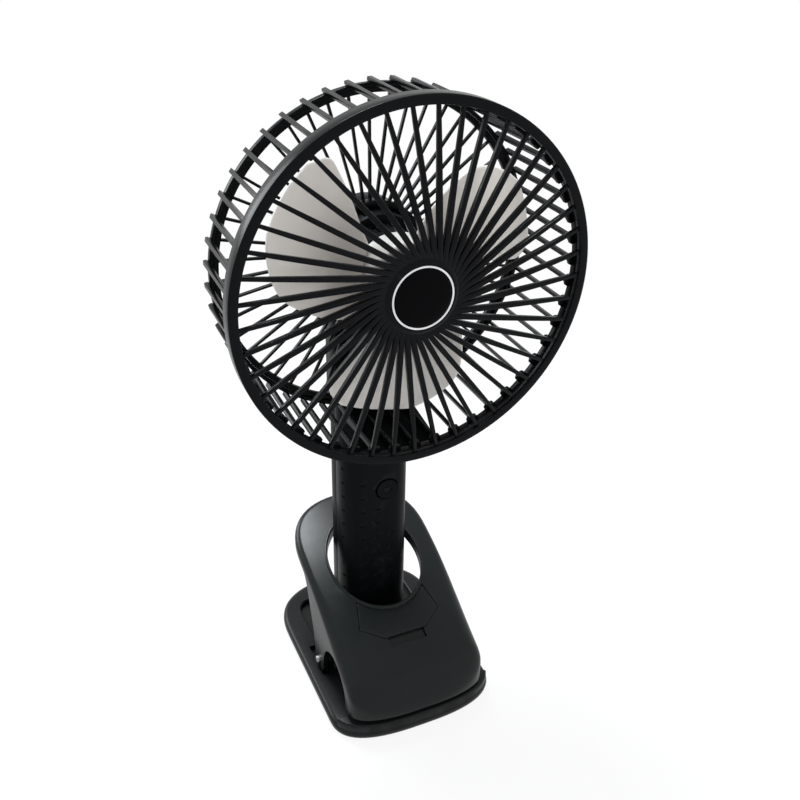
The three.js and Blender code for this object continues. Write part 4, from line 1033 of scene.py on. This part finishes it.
def motor_housing():
    """Wide foot, narrower collar, both ribbed by a ring of vents."""
    back = -DRUM_DEPTH - 2.6
    shoulder = back + 10.4
    cup = turned("motor_housing_moulding", [
        (0, back), (18.9, back), (19.5, back + 0.6), (19.5, shoulder - 1.4), (19.1, shoulder - 0.5),
        (18.2, shoulder), (15.7, shoulder), (15.7, -29.2), (15.2, -28.6), (13.5, -28.6), (13.5, back + 2),
        (0, back + 2)])
    for place in range(12):
        turn = Matrix.Rotation(math.radians(place * 30 + 15), 4, "Z")
        low = brick("vent", (15.1, -1.1, back + 3.4), (22, 1.1, shoulder - 2.2))
        high = brick("vent", (14.7, -1.1, shoulder + 1.6), (22, 1.1, -31))
        less(cup, placed(low, turn), placed(high, turn))
    smooth(placed(cup, DRUM), 32)
    return finished(cup, "head", "black_plastic", "motor_housing")


BLADE_ROOT = 17.2
BLADE_TIP = 60.2
BLADE_BACK = -24.3
BLADE_COUNT = 3
BLADE_FIRST = 116


def blade_surface(u, v):
    """A broad blade from hub to tip (u) and from its rear edge to its front one (v)."""
    radius = BLADE_ROOT + (BLADE_TIP - BLADE_ROOT) * u
    leading = 2 + 15 * (1 - u) ** 3.1 + 8 * max(0, (u - 0.86) / 0.14) ** 2.2
    trailing = 92.4 - 38.1 * u - 16 * max(0, (u - 0.72) / 0.28) ** 2.4
    angle = math.radians(leading + (trailing - leading) * v)
    climb = (0.165 + 0.035 * min(1, u / 0.4)) * (math.degrees(angle) - 2) - 1.6 * math.sin(math.pi * v) * u
    return radius * math.cos(angle), radius * math.sin(angle), climb + BLADE_BACK


def impeller():
    hub = turned("hub_cup", [(1.8, -20), (4, -20), (4, -11.4), (16.0, -11.8), (16.8, -20.5), (14.6, -27.6),
                             (16.0, -27.6), (18.2, -21.0), (18.2, -12.4), (17.9, -11.0), (17.1, -9.9),
                             (15.8, -9.2), (14.0, -8.8), (7, -8.3), (1.8, -8.3), (1.8, -20)], 112)
    blade = sheet("blade", 30, 24, blade_surface, 1.3, 0)
    soften(blade, 0.5, 3, 60)
    blades = repeated(blade, BLADE_COUNT, BLADE_FIRST, 360 / BLADE_COUNT)
    wheel = placed(joined("impeller_moulding", [hub, *blades]), DRUM)
    smooth(wheel, 40)
    return finished(wheel, "rotor", "blade_plastic", "impeller")


def refined(node, width):
    """A part of the neck keeps the CAD node's own form, merged, with its edges rounded."""
    angle = 35
    piece = copy_of(frame["nodes"][node], Matrix(), node + "_moulding")
    edit(piece)
    bpy.ops.mesh.remove_doubles(threshold=2e-6)
    bpy.ops.mesh.dissolve_limited(angle_limit=math.radians(0.5))
    done_editing()
    soften(piece, width, angle=angle)
    smooth(piece, angle)
    return finished(piece, "head", "black_plastic", node)


upper_jaw_shell()
compartment_lid()
jaw_pad("upper_pad_rubber", "upper_jaw_pad", "upper_jaw", 10.0, 12.65, 10.0)
jaw_pad("lower_pad_rubber", "lower_jaw_pad", "stand", 7.05, 9.7, 9.7)
base_tray()
sole_pad()
hinge_pin()
torsion_spring("torsion_spring_left", -1)
torsion_spring("torsion_spring_right", 1)
handle_front()
handle_back()
power_button()
charging_port()
screws()
hub_trim()
motor_housing()
impeller()
refined("neck_carrier", 0.35)
refined("carrier_cover", 0.3)

# ------------------------------------------------------------------ CAD nodes that keep their shape

for entry in frame["record"]["subparts"]:
    look = "tray_black" if entry["node"] == "base_tray" else entry["material_slot"]
    coated(frame["nodes"][entry["node"]], LOOK[look])

# ------------------------------------------------------------------ floor, light and camera

SHADOW_REACH = 0.22  # metres from the middle
FLOOR_WHITE = 0.88  # share of plain white in the floor near the object


def seen_directly(tree):
    """One for what the eye, a gloss or a clear piece looks at, nought for the light that falls on things."""
    path = tree.nodes.new("ShaderNodeLightPath")
    seen = math_node(tree, "ADD", path.outputs["Is Camera Ray"], path.outputs["Is Glossy Ray"], True)
    return math_node(tree, "ADD", seen, path.outputs["Is Transmission Ray"], True)


def floor_material():
    """Pale floor with the object's shadow near the middle. It grows plain white further out."""
    material, tree, shader = new_material("pale_floor")
    shader.inputs["Base Color"].default_value = (0.80, 0.80, 0.80, 1)
    shader.inputs["Roughness"].default_value = 0.9
    shader.inputs["Specular IOR Level"].default_value = 0.1
    glow = tree.nodes.new("ShaderNodeEmission")
    glow.inputs["Strength"].default_value = 1.0
    length = tree.nodes.new("ShaderNodeVectorMath")
    length.operation = "LENGTH"
    tree.links.new(tree.nodes.new("ShaderNodeTexCoord").outputs["Object"], length.inputs[0])
    beyond = math_node(tree, "SUBTRACT", length.outputs["Value"], SHADOW_REACH)
    away = math_node(tree, "MULTIPLY", beyond, 2.2, True)
    strength = math_node(tree, "ADD", math_node(tree, "MULTIPLY", away, 1 - FLOOR_WHITE), FLOOR_WHITE)
    share = math_node(tree, "MULTIPLY", seen_directly(tree), strength)
    surface_mix(tree, share, shader.outputs["BSDF"], glow.outputs["Emission"], "Material Output")
    return material


bpy.ops.mesh.primitive_plane_add(size=6, location=(0, 0, 0))
floor = named("floor")
floor.data.materials.append(floor_material())


def world_light():
    """Pale daylight from all round, seen as plain white."""
    world = bpy.data.worlds.new("studio")
    bpy.context.scene.world = world
    world.use_nodes = True
    tree = world.node_tree
    light = tree.nodes["Background"]
    light.inputs["Color"].default_value = (0.93, 0.96, 1.0, 1)
    light.inputs["Strength"].default_value = 0.55
    white = tree.nodes.new("ShaderNodeBackground")
    white.inputs["Color"].default_value = (1, 1, 1, 1)
    surface_mix(tree, seen_directly(tree), light.outputs["Background"], white.outputs["Background"],
                "World Output")


def softbox(name, place, aim, size, power, colour, shine=True):
    lamp = bpy.data.lights.new(name, "AREA")
    lamp.shape = "RECTANGLE"
    lamp.size, lamp.size_y = size
    lamp.energy = power
    lamp.color = colour
    obj = bpy.data.objects.new(name, lamp)
    bpy.context.scene.collection.objects.link(obj)
    obj.location = place
    obj.rotation_euler = (Vector(aim) - Vector(place)).to_track_quat("-Z", "Y").to_euler()
    obj.visible_camera = False
    obj.visible_glossy = shine


world_light()
softbox("window_above", (-0.05, 0.40, 1.08), (0, 0, 0.10), (0.30, 0.30), 13.0, (0.94, 0.98, 1.0))
softbox("window_behind_left", (-0.62, 0.80, 0.50), (0, 0, 0.15), (0.6, 0.5), 8.0, (0.94, 0.98, 1.0))
softbox("front_right", (0.60, -1.0, 0.50), (0, 0, 0.2), (0.7, 0.6), 9.0, (1.0, 0.99, 0.97), shine=False)


def camera():
    """Stands in front, above and to the left, rolled by about a degree."""
    place = Vector((-145.3, -337.2, 365.7)) * MM
    target = Vector((9.90, 0.0, 148.73)) * MM
    back = (place - target).normalized()
    right = Vector((0, 0, 1)).cross(back).normalized()
    up = back.cross(right)
    roll = math.radians(1.10)
    turned_right = right * math.cos(roll) + up * math.sin(roll)
    turned_up = up * math.cos(roll) - right * math.sin(roll)
    data = bpy.data.cameras.new("camera")
    data.sensor_width = 36.0
    data.lens = 42.74
    data.clip_start = 0.01
    obj = bpy.data.objects.new("camera", data)
    bpy.context.scene.collection.objects.link(obj)
    matrix = Matrix((turned_right, turned_up, back)).transposed().to_4x4()
    matrix.translation = place
    obj.matrix_world = matrix
    bpy.context.scene.camera = obj


camera()
bpy.context.scene.view_settings.view_transform = "Standard"
